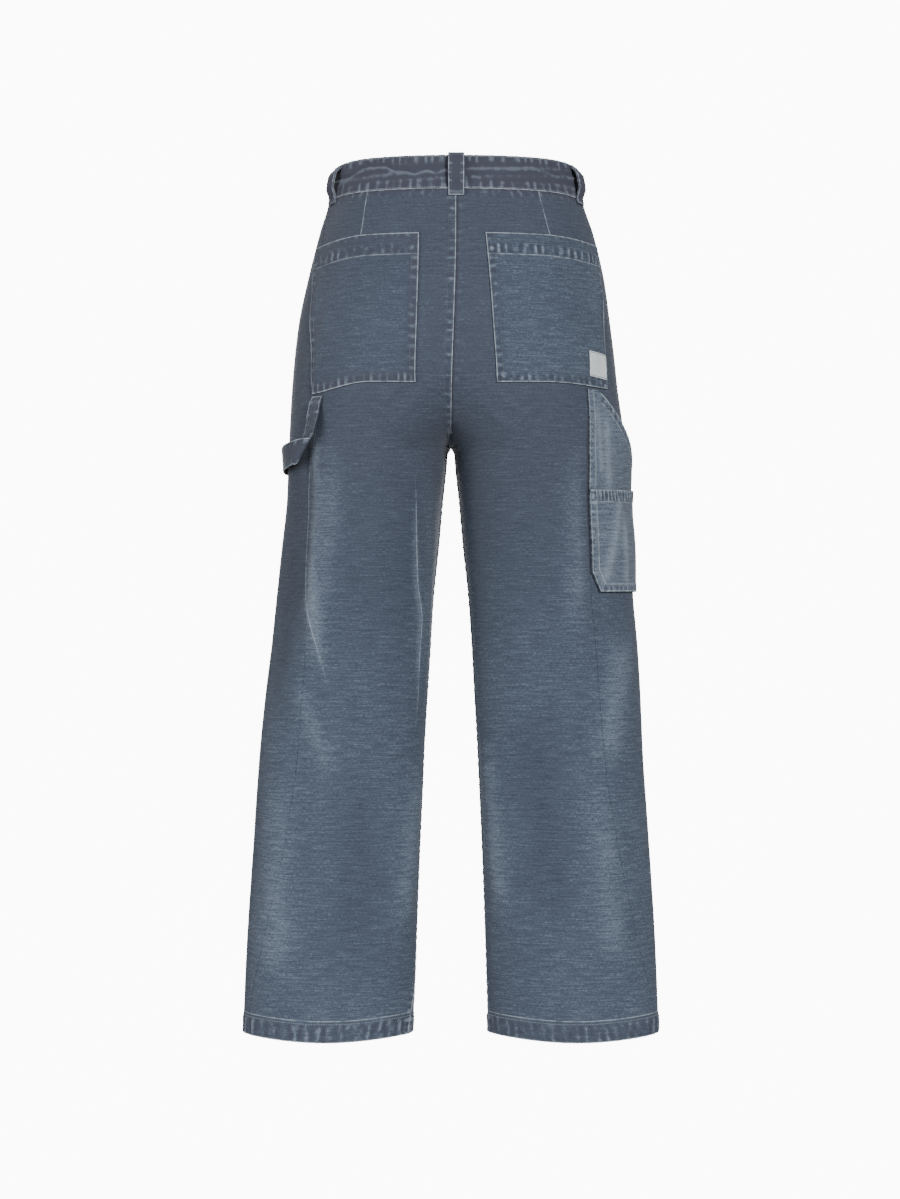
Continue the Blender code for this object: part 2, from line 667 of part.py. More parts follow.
def label():
    """The woven label at the right back pocket's outer lower corner."""
    share = np.linspace(0, 1, 4)[None, :] * np.ones((4, 1))
    height = np.linspace(LABEL_TOP, LABEL_BOTTOM, 4)[:, None] - LABEL_TILT * share
    distance = LABEL_INNER + (LABEL_OUTER - LABEL_INNER) * share
    around = around_from_back(RIGHT, distance, height)
    lift = 2 * PATCH_GAP + WALL
    return patch("label", RIGHT, around, height, lift, LABEL_WALL, label_tape())


# Stations along the hammer loop, in millimetres: its rear edge, which turns up into the upper edge
# where the strap folds over, and its front edge, which becomes the lower edge
Station = namedtuple("Station", "rear_x rear_y rear_z front_x front_y front_z")
STATIONS = [
    Station(154.5, 111.5, -266, 168, 96, -268),
    Station(157, 114.5, -279, 170, 93, -284),
    Station(160, 116.5, -290, 174, 92, -300),
    Station(162.5, 115, -297.5, 177.5, 93, -315),
    Station(165.5, 112.5, -300.5, 180, 96, -326.5),
    Station(172, 108, -300.5, 183, 96.5, -330),
    Station(181, 98, -302, 186, 91, -331),
    Station(190, 82, -304.5, 191, 78, -333),
    Station(197, 60, -307, 195.5, 57, -334.5),
    Station(199.5, 34, -309.5, 198, 32, -336),
    Station(199.5, 8, -310, 198, 7, -337),
    Station(197.5, -18, -310.5, 196, -18, -337.5),
    Station(193, -42, -311, 193, -42, -338.5),
    Station(184.5, -63, -313.5, 185.5, -63, -341),
]


def sewn_down(end):
    """The two edges of the strap where it lies on the leg."""
    behind = np.array([end.rear_behind, end.front_behind]) * MM
    height = np.array([end.rear_height, end.front_height]) * MM
    return surface_at(LEFT, behind, height, SEAM_GAP + STRAP_WALL).reshape(1, 6)


def hammer_loop():
    between = np.array(STATIONS) * MM
    rows = np.concatenate([sewn_down(STRAP_START), between, sewn_down(STRAP_FINISH)])
    steps = np.linspace(0, len(rows) - 1, 31)
    columns = [smooth_through(steps, np.arange(len(rows)), rows[:, column]) for column in range(6)]
    rear, front = np.stack(columns[:3], axis=1), np.stack(columns[3:], axis=1)
    share = np.linspace(0, 1, 4)[None, :, None]
    middle = rear[:, None, :] + (front - rear)[:, None, :] * share
    along = np.gradient(middle, axis=0)
    across = np.broadcast_to((front - rear)[:, None, :], middle.shape)
    normal = np.cross(across, along)
    normal /= np.linalg.norm(normal, axis=2)[:, :, None]
    return wall("hammer_loop", middle, middle - normal * STRAP_WALL, canvas())


def clear_scene():
    for item in list(bpy.data.objects):
        bpy.data.objects.remove(item)
    made = bpy.data.collections.new("carpenter_pants")
    bpy.context.scene.collection.children.link(made)


def build():
    clear_scene()
    for side in (LEFT, RIGHT):
        for face in ("back", "front"):
            panel(side, face)
    for pocket in POCKETS:
        back_pocket(pocket)
    waistband()
    belt_loop("belt_loop_back", LEFT, 1.0, 22.5 * MM, 51 * MM, 5.5 * MM)
    for side in (LEFT, RIGHT):
        belt_loop(f"belt_loop_side_{SIDE_NAMES[side]}", side, 0.18, 17.2 * MM, 43 * MM, 7.2 * MM)
        belt_loop(f"belt_loop_front_{SIDE_NAMES[side]}", side, -0.68, 21 * MM, 50 * MM, 6.6 * MM)
    fly()
    button()
    tool_pocket_upper()
    tool_pocket_lower()
    label()
    hammer_loop()


build()
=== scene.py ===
# %% [markdown]
# Carpenter pants in washed blue-grey canvas, filled out as worn and seen from behind. The packed
# frame gives every piece its place. This lesson cuts each piece of cloth again on a finer grid,
# presses in its seams and folds, sews it with real stitches and washes it with a woven finish.

import math
from collections import namedtuple

import bpy
import numpy as np
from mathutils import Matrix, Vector


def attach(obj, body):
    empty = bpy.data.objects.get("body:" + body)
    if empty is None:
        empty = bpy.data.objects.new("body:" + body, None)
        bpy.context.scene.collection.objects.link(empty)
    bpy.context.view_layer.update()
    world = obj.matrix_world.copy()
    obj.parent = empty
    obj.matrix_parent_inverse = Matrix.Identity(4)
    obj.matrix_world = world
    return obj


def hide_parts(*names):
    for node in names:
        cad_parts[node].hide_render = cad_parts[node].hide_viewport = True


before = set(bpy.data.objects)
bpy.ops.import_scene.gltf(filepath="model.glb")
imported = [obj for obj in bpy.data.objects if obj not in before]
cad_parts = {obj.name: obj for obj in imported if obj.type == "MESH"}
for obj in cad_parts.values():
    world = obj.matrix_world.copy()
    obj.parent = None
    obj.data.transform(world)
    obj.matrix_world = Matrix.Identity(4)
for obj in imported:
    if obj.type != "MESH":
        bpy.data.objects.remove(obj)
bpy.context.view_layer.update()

# %% [markdown]
# All the cloth lies on one shape, the body surface: a girth curve at each height, which runs from the
# outermost point of the hip or leg round the back or the front to the inner edge. Tables of named
# measures shape it, because a garment is measured the same way, with a tape at fixed levels.

# %% Measures
MM = 0.001
LEFT, RIGHT = 1, -1
SIDE_NAMES = {LEFT: "left", RIGHT: "right"}

WALL = 1.2 * MM
BAND_PROUD = 1.0 * MM
LAYER = 0.3 * MM
SEAM_GAP = 0.1 * MM
SEAM_LAP = 0.5 * MM
CAD_SEAM_GAP = 0.3 * MM

WAIST_TOP = 20 * MM
WAIST_SEAM = -20 * MM
SEAT_LEVEL = -200 * MM
CROTCH_LEVEL = -306 * MM
CROTCH_DEPTH = 5 * MM
CROTCH_DROP = 140 * MM
HEM_LEVEL = -984 * MM
HEM_HEIGHT = 22 * MM
FRONT_DROP = 25 * MM
SIDE_DROP = 4 * MM
HEM_TILT = 6 * MM
LEG_LEAN = 6 * MM
SIDE_DEPTH = 3 * MM
ROUNDNESS = 2.15

Section = namedtuple("Section", "height outer_left outer_right inner back back_x front front_x")
SECTIONS = [
    Section(22, 140, 140, 0, 96, 0, -95, 0),
    Section(-20, 147, 147, 0, 106, 0, -101, 0),
    Section(-60, 159, 160, 0, 119, 6, -107, 3),
    Section(-115, 172, 173.5, 0, 131, 20, -111, 10),
    Section(-160, 180, 181, 0, 137, 38, -112, 22),
    Section(-200, 183.5, 187.5, 0, 138, 56, -112, 36),
    Section(-240, 185.5, 193, 0, 135, 72, -111, 54),
    Section(-280, 187, 199.5, 0, 127, 84, -110, 72),
    Section(-306, 188, 202.5, 0.15, 120, 90, -109, 82),
    Section(-313, 188.2, 203, 4.2, 118, 91, -109, 84),
    Section(-330, 189, 204, 5.6, 114, 94, -108, 90),
    Section(-366, 190.5, 206, 9.5, 105, 98, -105, 96),
    Section(-422, 196.5, 210, 14.5, 95, 104, -100, 102),
    Section(-478, 202.5, 212, 20.5, 86, 111, -94, 108),
    Section(-534, 208.5, 217, 24.5, 79, 117, -87, 114),
    Section(-590, 215.5, 220.5, 27.5, 74, 121, -80, 120),
    Section(-660, 222.5, 223.5, 31.5, 69, 127, -73, 127),
    Section(-770, 230, 231, 36.5, 64, 133, -65, 134),
    Section(-883, 237.5, 238, 40.5, 61, 139, -59, 140),
    Section(-1000, 242.5, 242.5, 44, 60, 143, -54, 143),
]

Seam = namedtuple("Seam", "height left right")
OUTSEAM = [
    Seam(-20, 20, 20),
    Seam(-70, 46, 46),
    Seam(-120, 79, 79),
    Seam(-180, 103, 104),
    Seam(-250, 114.5, 116),
    Seam(-300, 104, 115),
    Seam(-332, 96, 112),
    Seam(-404, 85.5, 105),
    Seam(-482, 84, 97),
    Seam(-552, 84, 90.5),
    Seam(-666, 80, 81.5),
    Seam(-780, 66, 66),
    Seam(-874, 47, 48),
    Seam(-954, 27, 25),
    Seam(-1000, 19, 17),
]

# %% Smooth changes
def ease(share):
    """0 below 0, 1 above 1, and smooth in between."""
    share = np.clip(share, 0.0, 1.0)
    return share * share * (3 - 2 * share)


def near(distance, full, gone):
    """1 closer than full, fading to 0 at gone. Both are in millimetres."""
    return 1 - ease((np.abs(distance) - full * MM) / ((gone - full) * MM))


def bell(distance, width):
    """A smooth hump, 1 at no distance. The width is in millimetres."""
    return np.exp(-((distance / (width * MM)) ** 2))


def least(distance, *others):
    """The smallest of these distances at each point."""
    for other in others:
        distance = np.minimum(distance, other)
    return distance


def walked_along(points):
    """How far along a line of points each of them lies."""
    return np.concatenate([[0], np.cumsum(np.linalg.norm(np.diff(points, axis=0), axis=1))])


def smooth_through(at, knots, values):
    """A curve through the given values that doesn't overshoot between them."""
    knots, values = np.asarray(knots, float), np.asarray(values, float)
    steps = np.diff(knots)
    slopes = np.diff(values) / steps
    tangents = np.zeros_like(values)
    tangents[0], tangents[-1] = slopes[0], slopes[-1]
    before, after = slopes[:-1], slopes[1:]
    same_way = before * after > 0
    mean = 2 * before * after / np.where(same_way, before + after, 1)
    tangents[1:-1] = np.where(same_way, mean, 0)
    at = np.clip(at, knots[0], knots[-1])
    low = np.clip(np.searchsorted(knots, at) - 1, 0, len(steps) - 1)
    step = steps[low]
    t = (at - knots[low]) / step
    return (
        values[low] * (1 + 2 * t) * (1 - t) ** 2
        + tangents[low] * step * t * (1 - t) ** 2
        + values[low + 1] * t * t * (3 - 2 * t)
        + tangents[low + 1] * step * t * t * (t - 1)
    )


def section(name, height):
    """One column of the section table at these heights, in metres."""
    rows = sorted(SECTIONS)
    knots = [row.height * MM for row in rows]
    values = [getattr(row, name) * MM for row in rows]
    return smooth_through(height, knots, values)


# %% Girth curves
def seam_depth(height, column):
    """How far back, or forward, the centre seam lies: upright, then a quarter ellipse to the crotch."""
    standing = section(column, np.maximum(height, SEAT_LEVEL))
    cleft = 0.97 + 0.03 * ease((height - SEAT_LEVEL) / (120 * MM))
    drop = np.clip((SEAT_LEVEL - height) / (SEAT_LEVEL - CROTCH_LEVEL), 0, 1)
    return CROTCH_DEPTH + (standing * cleft - CROTCH_DEPTH) * np.sqrt(1 - drop * drop)


CURVE_STEPS = 160


def half_curve(side, height, column):
    """Points along one level, from the outermost point round the back or the front to the inner edge."""
    height = np.asarray(height, float)[:, None]
    outer = section("outer_left" if side == LEFT else "outer_right", height)
    inner = np.maximum(section("inner", height), CAD_SEAM_GAP / 2)
    far = section(column, height)
    far_x = section(column + "_x", height) + CAD_SEAM_GAP / 2
    end = seam_depth(height, column)
    turn = np.linspace(0, math.pi / 2, CURVE_STEPS // 2)[None, :]
    power = 2 / ROUNDNESS
    first_x = far_x + (outer - far_x) * np.cos(turn) ** power
    first_y = SIDE_DEPTH + (far - SIDE_DEPTH) * np.sin(turn) ** power
    run = np.linspace(0, 1, CURVE_STEPS // 2 + 1)[None, 1:]
    soft_x = far_x - (far_x - inner) * run
    soft_y = end + (far - end) * (1 + np.cos(math.pi * run)) / 2
    reach = np.arccos(np.clip((end - CROTCH_DEPTH) / (far - CROTCH_DEPTH), 0, 1 - 1e-6))
    round_x = far_x - (far_x - inner) * np.sin(run * reach) / np.sin(reach)
    round_y = CROTCH_DEPTH + (far - CROTCH_DEPTH) * np.cos(run * reach)
    roundness = ease((SEAT_LEVEL / 2 - height) / (90 * MM))
    x = np.concatenate([first_x, soft_x + (round_x - soft_x) * roundness], axis=1)
    y = np.concatenate([first_y, soft_y + (round_y - soft_y) * roundness], axis=1)
    walked = np.cumsum(np.hypot(np.diff(x, axis=1), np.diff(y, axis=1)), axis=1)
    return x, y, np.concatenate([np.zeros((len(x), 1)), walked], axis=1)


# %% [markdown]
# Solving those curves for every point would be slow, so each leg gets a chart once: its points at
# fixed heights and at every millimetre of cloth before and behind the outermost line. A place is then
# read from the chart, and its normal comes from its neighbours.

# %% Charts of the surface
crotch_levels = -306 + 14 * np.linspace(0, 1, 24) ** 2
LEVELS = np.unique(np.concatenate([np.linspace(-1012, 32, 523), crotch_levels])) * MM
REACH = np.arange(-380, 381) * MM


def chart_of(side):
    """x and y at each level and each distance behind the outermost line, and both girths."""
    x, y, girth = np.zeros((2, len(LEVELS), len(REACH))), np.zeros((2, len(LEVELS), len(REACH))), {}
    for number, column in enumerate(("front", "back")):
        curve_x, curve_y, walked = half_curve(side, LEVELS, column)
        girth[column] = walked[:, -1]
        for row in range(len(LEVELS)):
            end = walked[row, -1]
            past = np.maximum(np.abs(REACH) - end, 0) / (2 * MM)
            for chart, curve in ((x, curve_x), (y, curve_y)):
                slope = curve[row, -1] - np.interp(end - 2 * MM, walked[row], curve[row])
                chart[number, row] = np.interp(np.abs(REACH), walked[row], curve[row]) + slope * past
    behind = REACH[None, :] >= 0
    return np.where(behind, x[1], x[0]), np.where(behind, y[1], y[0]), girth


CHARTS = {side: chart_of(side) for side in (LEFT, RIGHT)}


def girth_of(side, height, column):
    """The length of cloth from the outermost line to the back or front seam at these heights."""
    return np.interp(height, LEVELS, CHARTS[side][2][column])


def girth_toward(side, toward, height):
    """The girth to the back seam, or to the front seam where toward is negative."""
    return np.where(toward >= 0, girth_of(side, height, "back"), girth_of(side, height, "front"))


def bare_points(side, behind, height):
    """Points of the surface without folds, at a distance behind the outermost line, or before it."""
    chart_x, chart_y, _ = CHARTS[side]
    row = np.clip(np.searchsorted(LEVELS, height) - 1, 0, len(LEVELS) - 2)
    up = np.clip((height - LEVELS[row]) / (LEVELS[row + 1] - LEVELS[row]), 0, 1)
    place = np.clip((behind - REACH[0]) / MM, 0, len(REACH) - 1.001)
    column = place.astype(int)
    on = place - column
    points = np.zeros(behind.shape + (3,))
    for axis, chart in ((0, chart_x), (1, chart_y)):
        lower = chart[row, column] * (1 - on) + chart[row, column + 1] * on
        upper = chart[row + 1, column] * (1 - on) + chart[row + 1, column + 1] * on
        points[..., axis] = lower + (upper - lower) * up
    points[..., 0] = side * points[..., 0] + LEG_LEAN * ease((-60 * MM - height) / (240 * MM))
    points[..., 2] = height
    return points


def normals(side, behind, height):
    """Outward directions of the bare surface."""
    step = 2 * MM
    across = bare_points(side, behind + step, height) - bare_points(side, behind - step, height)
    lower = np.where((height < CROTCH_LEVEL) & (height > CROTCH_LEVEL - step), CROTCH_LEVEL - step, height)
    down = bare_points(side, behind, lower + step / 2) - bare_points(side, behind, lower - step / 2)
    normal = np.cross(across, down) * side
    return normal / np.linalg.norm(normal, axis=-1)[..., None]


# %% Places on the surface
def waist_drop(around, height):
    """How much lower the waist is than at the back: some at the sides, most in front, none by the seat."""
    fade = ease((height - SEAT_LEVEL) / (WAIST_SEAM - SEAT_LEVEL))
    front = FRONT_DROP * (1 - np.cos(math.pi * np.clip(-around, 0, 1))) / 2
    side = SIDE_DROP * (1 + np.cos(math.pi * np.clip(around / 0.45, -1, 1))) / 2
    return -(front + side) * fade


def hem_drop(around, height):
    """The hem is lower at the back than at the front."""
    fade = ease((-880 * MM - height) / (100 * MM))
    return -HEM_TILT * np.sin(math.pi * around) * np.abs(np.sin(math.pi * around)) * fade


def outseam_behind(side, height):
    """How far the outseam lies behind the outermost line."""
    rows = sorted(OUTSEAM)
    behind = [getattr(row, SIDE_NAMES[side]) * MM for row in rows]
    return smooth_through(height, [row.height * MM for row in rows], behind)


def inseam_swing(side, height):
    """How far the inseam lies behind the innermost line. The left one swings back near the hem."""
    swing = 22 * MM if side == LEFT else 5 * MM
    return swing * ease((-900 * MM - height) / (90 * MM))


def around_at(side, behind, height):
    """The share of the way round to the back seam, or to the front seam where it is negative."""
    return behind / girth_toward(side, behind, height)


# %% [markdown]
# The folds come from the photograph: long soft ridges down the legs, breaks behind the knees and
# drags under the seat. Each is a line on the cloth with a width and a height. The frame's solids
# have the largest, and the short, sharp ones are added here. Two creases on the left thigh are worn
# to a pale line, with painted light beside it.

# %% Folds and creases
Fold = namedtuple("Fold", "side behind_top behind_bottom top bottom width rise sharpness", defaults=[2])
FOLDS = [
    Fold(LEFT, 124, 90, -262, -610, 18, 3.5),
    Fold(LEFT, 66, 40, -300, -640, 22, -4.0),
    Fold(LEFT, 74, 122, -560, -700, 16, 3.0),
    Fold(LEFT, 245, 240, -300, -620, 18, 3.0),
    Fold(LEFT, 232, 212, -640, -900, 18, 3.0),
    Fold(LEFT, 158, 156, -640, -930, 32, -2.5),
    Fold(LEFT, 56, 62, -650, -960, 24, 3.0),
    Fold(RIGHT, 132, 116, -280, -560, 18, 2.5),
    Fold(RIGHT, 54, 76, -500, -700, 20, 4.0),
    Fold(RIGHT, 92, 76, -660, -930, 22, 3.0),
    Fold(RIGHT, 158, 152, -560, -900, 32, -2.5),
    Fold(RIGHT, 224, 212, -610, -880, 18, 3.5),
    Fold(LEFT, -150, -130, -240, -560, 24, 3.0),
    Fold(LEFT, -130, -138, -620, -940, 26, 3.5),
    Fold(RIGHT, -150, -132, -250, -580, 24, 3.0),
    Fold(RIGHT, -134, -124, -600, -930, 26, 3.5),
    Fold(LEFT, 88, 70, -256, -540, 8, -2.4),
    Fold(LEFT, 103, 89, -262, -570, 8, 2.2),
    Fold(RIGHT, 126, 108, -290, -540, 9, 1.2),
    Fold(LEFT, 84, 116, -480, -610, 5, 1.8, 1.3),
    Fold(LEFT, 226, 219, -400, -560, 6, 1.2, 1.4),
    Fold(RIGHT, 100, 88, -610, -700, 5, 1.2, 1.4),
    Fold(RIGHT, 70, 62, -520, -640, 5, 0.9, 1.4),
]

Break = namedtuple("Break", "side behind height length width rise slope")
BREAKS = [
    Break(LEFT, 212, -652, 26, 5, 1.4, 0.35),
    Break(LEFT, 204, -664, 20, 4, -1.0, 0.3),
    Break(LEFT, 196, -676, 24, 5, 0.9, 0.2),
    Break(RIGHT, 222, -655, 18, 5, 1.3, -0.2),
    Break(RIGHT, 216, -664, 16, 4, -0.8, -0.2),
    Break(LEFT, 200, -252, 30, 7, 1.0, 0.9),
    Break(RIGHT, 214, -256, 30, 7, 1.0, 0.9),
    Break(LEFT, 214, -272, 26, 6, 0.9, 0.9),
    Break(RIGHT, 226, -276, 24, 6, 0.9, 0.9),
]

# In a crease, fade is the width in millimetres of the painted light beside it.
Crease = namedtuple("Crease", "side facing fade heights behind")
CREASES = [
    Crease(
        LEFT,
        1,
        13,
        (-600, -580, -540, -506, -483, -430, -369, -300, -240),
        (120, 113, 100, 90, 84, 80, 81, 96, 101),
    ),
    Crease(
        LEFT,
        -1,
        5,
        (-660, -598, -540, -506, -460, -392, -330),
        (220, 227, 226, 228, 220, 219, 222),
    ),
]


def crease_line(side, behind, height):
    """Signed distance from the nearest sharp crease, larger where it dies out, and the painted light beside
    it.
    """
    nearest, painted_light_beside = np.ones(behind.shape), np.zeros(behind.shape)
    for crease in CREASES:
        if crease.side == side:
            knots = np.array(crease.heights) * MM
            line = smooth_through(height, knots, np.array(crease.behind) * MM)
            share = (height - knots[0]) / (knots[-1] - knots[0])
            strength = ease(share / 0.4) * ease((1 - share) / 0.25)
            across = 0.8 * crease.facing * (behind - line) / np.maximum(strength, 0.02)
            nearest = np.where(np.abs(across) < np.abs(nearest), across, nearest)
            painted_light_beside += strength * near(across - 0.4 * crease.fade * MM, 0.2 * crease.fade, crease.fade)
    return nearest, painted_light_beside


def fold_rise(side, behind, height):
    """How far the folds lift the cloth."""
    rise = np.zeros(behind.shape)
    for fold in FOLDS:
        if fold.side == side:
            down = (fold.top * MM - height) / ((fold.top - fold.bottom) * MM)
            line = (fold.behind_top + (fold.behind_bottom - fold.behind_top) * ease(down)) * MM
            across = np.abs(behind - line) / (fold.width * MM)
            strength = ease(down / 0.3) * ease((1 - down) / 0.3)
            rise += fold.rise * MM * np.exp(-(across**fold.sharpness)) * strength
    for bend in BREAKS:
        if bend.side == side:
            past = behind - bend.behind * MM
            along = past / (bend.length * MM)
            across = (height - bend.height * MM - bend.slope * past) / (bend.width * MM)
            rise += bend.rise * MM * np.exp(-(along**2) - across**2)
    return rise


def ripple(along, across, period, seed, slant=0.0):
    """An uneven wave of about this period in millimetres, between -1 and 1, the same on every run."""
    draw = np.random.default_rng(seed)
    total = np.zeros(np.shape(along))
    for _ in range(6):
        pitch = period * MM * draw.uniform(0.7, 1.6)
        lean = slant + draw.uniform(-0.12, 0.12)
        strength = draw.uniform(0.5, 1)
        turns = (along + lean * across) / pitch + draw.uniform()
        total = total + strength * np.sin(2 * math.pi * turns)
    return np.clip(total / 2.4, -1.2, 1.2)


def puckered(windows):
    """The rise, ridge and pucker of waves, each with its window and its height in millimetres."""
    rise, ridge, pucker = 0.0, 0.0, 0.0
    for window, wave, tall in windows:
        rise = rise + tall * MM * window * wave
        ridge = ridge + window * wave
        pucker = np.maximum(pucker, window)
    return rise, np.clip(ridge, -1, 1), pucker


def sunk(distance, row, depth, gone=1.1):
    """How far the cloth sinks along a row of stitches, which lies so many millimetres from an edge."""
    return depth * MM * near(distance - row * MM, 0.2, gone)


# %% [markdown]
# Washing pulls every sewn edge into small puckers, wears their ridges pale and leaves the dye in their
# grooves. The same waves therefore shape the mesh and are kept as a vertex attribute that the cloth's
# finish reads. The panels' seams come first, because what lies on a panel follows its puckers.

# %% Seams of the panels
DARTS = {LEFT: (105, 112), RIGHT: (96, 110)}
DART_TOP, DART_BOTTOM = -20 * MM, -74 * MM
FELL_WIDTH = 9


def panel_places(side, behind, height):
    """Distances in metres from the seams of a panel: back or front seam, outseam, waist and hem."""
    around = around_at(side, behind, height)
    from_back = girth_of(side, height, "back") - inseam_swing(side, height) - behind
    from_front = girth_of(side, height, "front") + inseam_swing(side, height) + behind
    return {
        "back": from_back,
        "front": from_front,
        "side": behind - outseam_behind(side, height),
        "waist": WAIST_SEAM + waist_drop(around, np.full_like(height, WAIST_SEAM)) - height,
        "hem": height - HEM_LEVEL - hem_drop(around, height),
    }


def panel_relief(side, behind, height):
    """How far the cloth rises at its folds and seams, and how much it is puckered."""
    at = panel_places(side, behind, height)
    rise = fold_rise(side, behind, height)
    is_leg = ease((CROTCH_LEVEL + 20 * MM - height) / (20 * MM))
    behind_side = at["side"] >= 0
    felled = np.where(behind_side, np.where(side == LEFT, 1.0, is_leg), 0.0)
    inner = np.where(behind_side, at["back"], at["front"])
    rise += 0.6 * MM * near(inner, FELL_WIDTH - 1, FELL_WIDTH + 0.6) * felled
    rise -= 0.35 * MM * near(inner - 1.9 * MM, 0.1, 1.1) * felled
    strength = 0.4 + 0.35 * felled + 0.25 * is_leg
    windows = [
        (near(inner, 3, 17) * strength, ripple(height, inner, 9, 11 + side), 0.38),
        (near(at["side"], 1, 12) * 0.2, ripple(height, at["side"], 8, 21 + side), 0.45),
        (near(at["waist"], 0, 15) * 0.8, ripple(behind, at["waist"], 9, 31 + side), 0.35),
        (near(at["hem"] - 8 * MM, 9, 17) * 0.7, ripple(behind, at["hem"], 10, 41 + side), 0.75),
    ]
    waves, ridge, pucker = puckered(windows)
    rise += waves
    rise += 0.7 * MM * near(at["hem"], HEM_HEIGHT / MM - 1, HEM_HEIGHT / MM + 1.5)
    rise -= 0.6 * MM * near(at["hem"] - HEM_HEIGHT + 1 * MM, 0.3, 1.8)
    top, bottom = DARTS[side]
    down = (DART_TOP - height) / (DART_TOP - DART_BOTTOM)
    dart = at["back"] - (top + (bottom - top) * down) * MM
    has_dart = near(down - 0.5, 470, 520) * behind_side
    rise += 0.7 * MM * bell(dart, 1.6) * has_dart
    line = np.where(has_dart > 0.02, dart, crease_line(side, behind, height)[0])
    line = np.where(at["hem"] < 40 * MM, at["hem"] - 24.6 * MM, line)
    return rise, ridge, pucker, line, at


# %% [markdown]
# A piece of cloth is a closed sheet: an outer grid of points, an inner one a wall's thickness behind it
# and a rim between them. Its UV map holds the distances along the threads, so the weave keeps its size
# and follows the cloth. Columns and rows crowd at the edges, where the puckers are.

# %% Sheets of cloth
NEAR_EDGE = [0, 0.35, 0.9, 1.6, 2.6, 3.8, 5.2, 6.6, 8, 9.4, 11, 13, 15.5]


def stops(length, step):
    """Positions from 0 to length in metres, crowded at both ends."""
    ends = [mm * MM for mm in NEAR_EDGE if mm * MM < length * 0.45]
    inside = length - 2 * ends[-1]
    count = max(2, int(math.ceil(inside / step)))
    middle = [ends[-1] + inside * number / count for number in range(1, count)]
    return np.array(ends + middle + [length - end for end in reversed(ends)])


def rolled(edge, radius=0.9):
    """How far a turned edge drops as it rounds off."""
    close = np.clip(1 - edge / (radius * MM), 0, 1)
    return -radius * MM * (1 - np.sqrt(1 - close * close * 0.96))


def placed(name, data):
    """A new object in the scene."""
    made = bpy.data.objects.new(name, data)
    bpy.context.scene.collection.objects.link(made)
    return made


def sheet_of(name, outer, inner, along, up, looks, material, lining=1.2):
    """A closed mesh between two grids, with its UV map and the attributes that the finish reads."""
    rows, columns = outer.shape[:2]
    points = np.concatenate([outer.reshape(-1, 3), inner.reshape(-1, 3)])
    number = np.arange(rows * columns).reshape(rows, columns)
    corners = [number[:-1, :-1], number[1:, :-1], number[1:, 1:], number[:-1, 1:]]
    cells = np.stack(corners, axis=-1).reshape(-1, 4)
    border = np.concatenate([number[0, :], number[1:, -1], number[-1, -2::-1], number[-2:0:-1, 0]])
    following = np.roll(border, -1)
    below = rows * columns
    rim = np.stack([border, following, following + below, border + below], axis=-1)
    faces = np.concatenate([cells, cells[:, ::-1] + below, rim])
    a, b, c, d = (points[faces[:, corner]] for corner in range(4))
    volume = np.einsum("ij,ij->i", a, np.cross(b, c) + np.cross(c, d)).sum() / 6
    if volume < 0:
        faces = faces[:, ::-1]
    mesh = bpy.data.meshes.new(name)
    mesh.from_pydata(points.tolist(), [], faces.tolist())
    corner = np.zeros(len(mesh.loops), dtype=np.int64)
    mesh.loops.foreach_get("vertex_index", corner)
    flat = np.stack([np.broadcast_to(values, number.shape).ravel() for values in (along, up)], axis=-1)
    uv = mesh.uv_layers.new(name="Cloth")
    uv.data.foreach_set("uv", flat[corner % below].ravel().astype(np.float32))
    for title, values in looks.items():
        layer = mesh.attributes.new(title, "FLOAT", "POINT")
        both = np.tile(np.ravel(np.broadcast_to(values, (rows, columns))), 2)
        if title == "edge":
            both[below:] += lining
        layer.data.foreach_set("value", both.astype(np.float32))
    mesh.materials.append(material)
    mesh.shade_smooth()
    made = placed(name, mesh)
    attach(made, "root")
    first = np.cross(outer[1:, :-1] - outer[:-1, :-1], outer[:-1, 1:] - outer[:-1, :-1])
    second = np.cross(outer[1:, 1:] - outer[:-1, 1:], outer[1:, 1:] - outer[1:, :-1])
    return made


def looks_of(edge, ridge=0.0, pucker=0.0, line=0.02, high=0.0, dye_and_shadow=0.0):
    """The attributes of one piece. Edge and line come in metres and are kept in millimetres."""
    shape = np.shape(edge)
    values = dict(edge=edge / MM, ridge=ridge, pucker=pucker, line=line / MM, high=high, dye_and_shadow=dye_and_shadow)
    return {title: np.broadcast_to(value, shape) for title, value in values.items()}


# %% [markdown]
# The four leg panels run from the waist seam to the hem. Their columns keep a tape's distance from
# the seams, and their rows sink towards the crotch, so the cells stay even where the leg parts from
# the seat. Four panels meet at the crotch, as they are sewn.

# %% Panels
HEM_ROWS = [30, 28, 26, 24.6, 23.6, 22.8, 22, 21.2, 20.4, 19.4, 18, 16.4, 14.8, 13.2, 11.6, 10]
HEM_ROWS += [8.4, 6.8, 5.4, 4, 2.8, 1.8, 1, 0.4, 0]
PANEL_COLUMNS = 40
PALEST_BELOW, DARK_ABOVE = -720 * MM, -280 * MM
UNDER_SEAT = -340 * MM


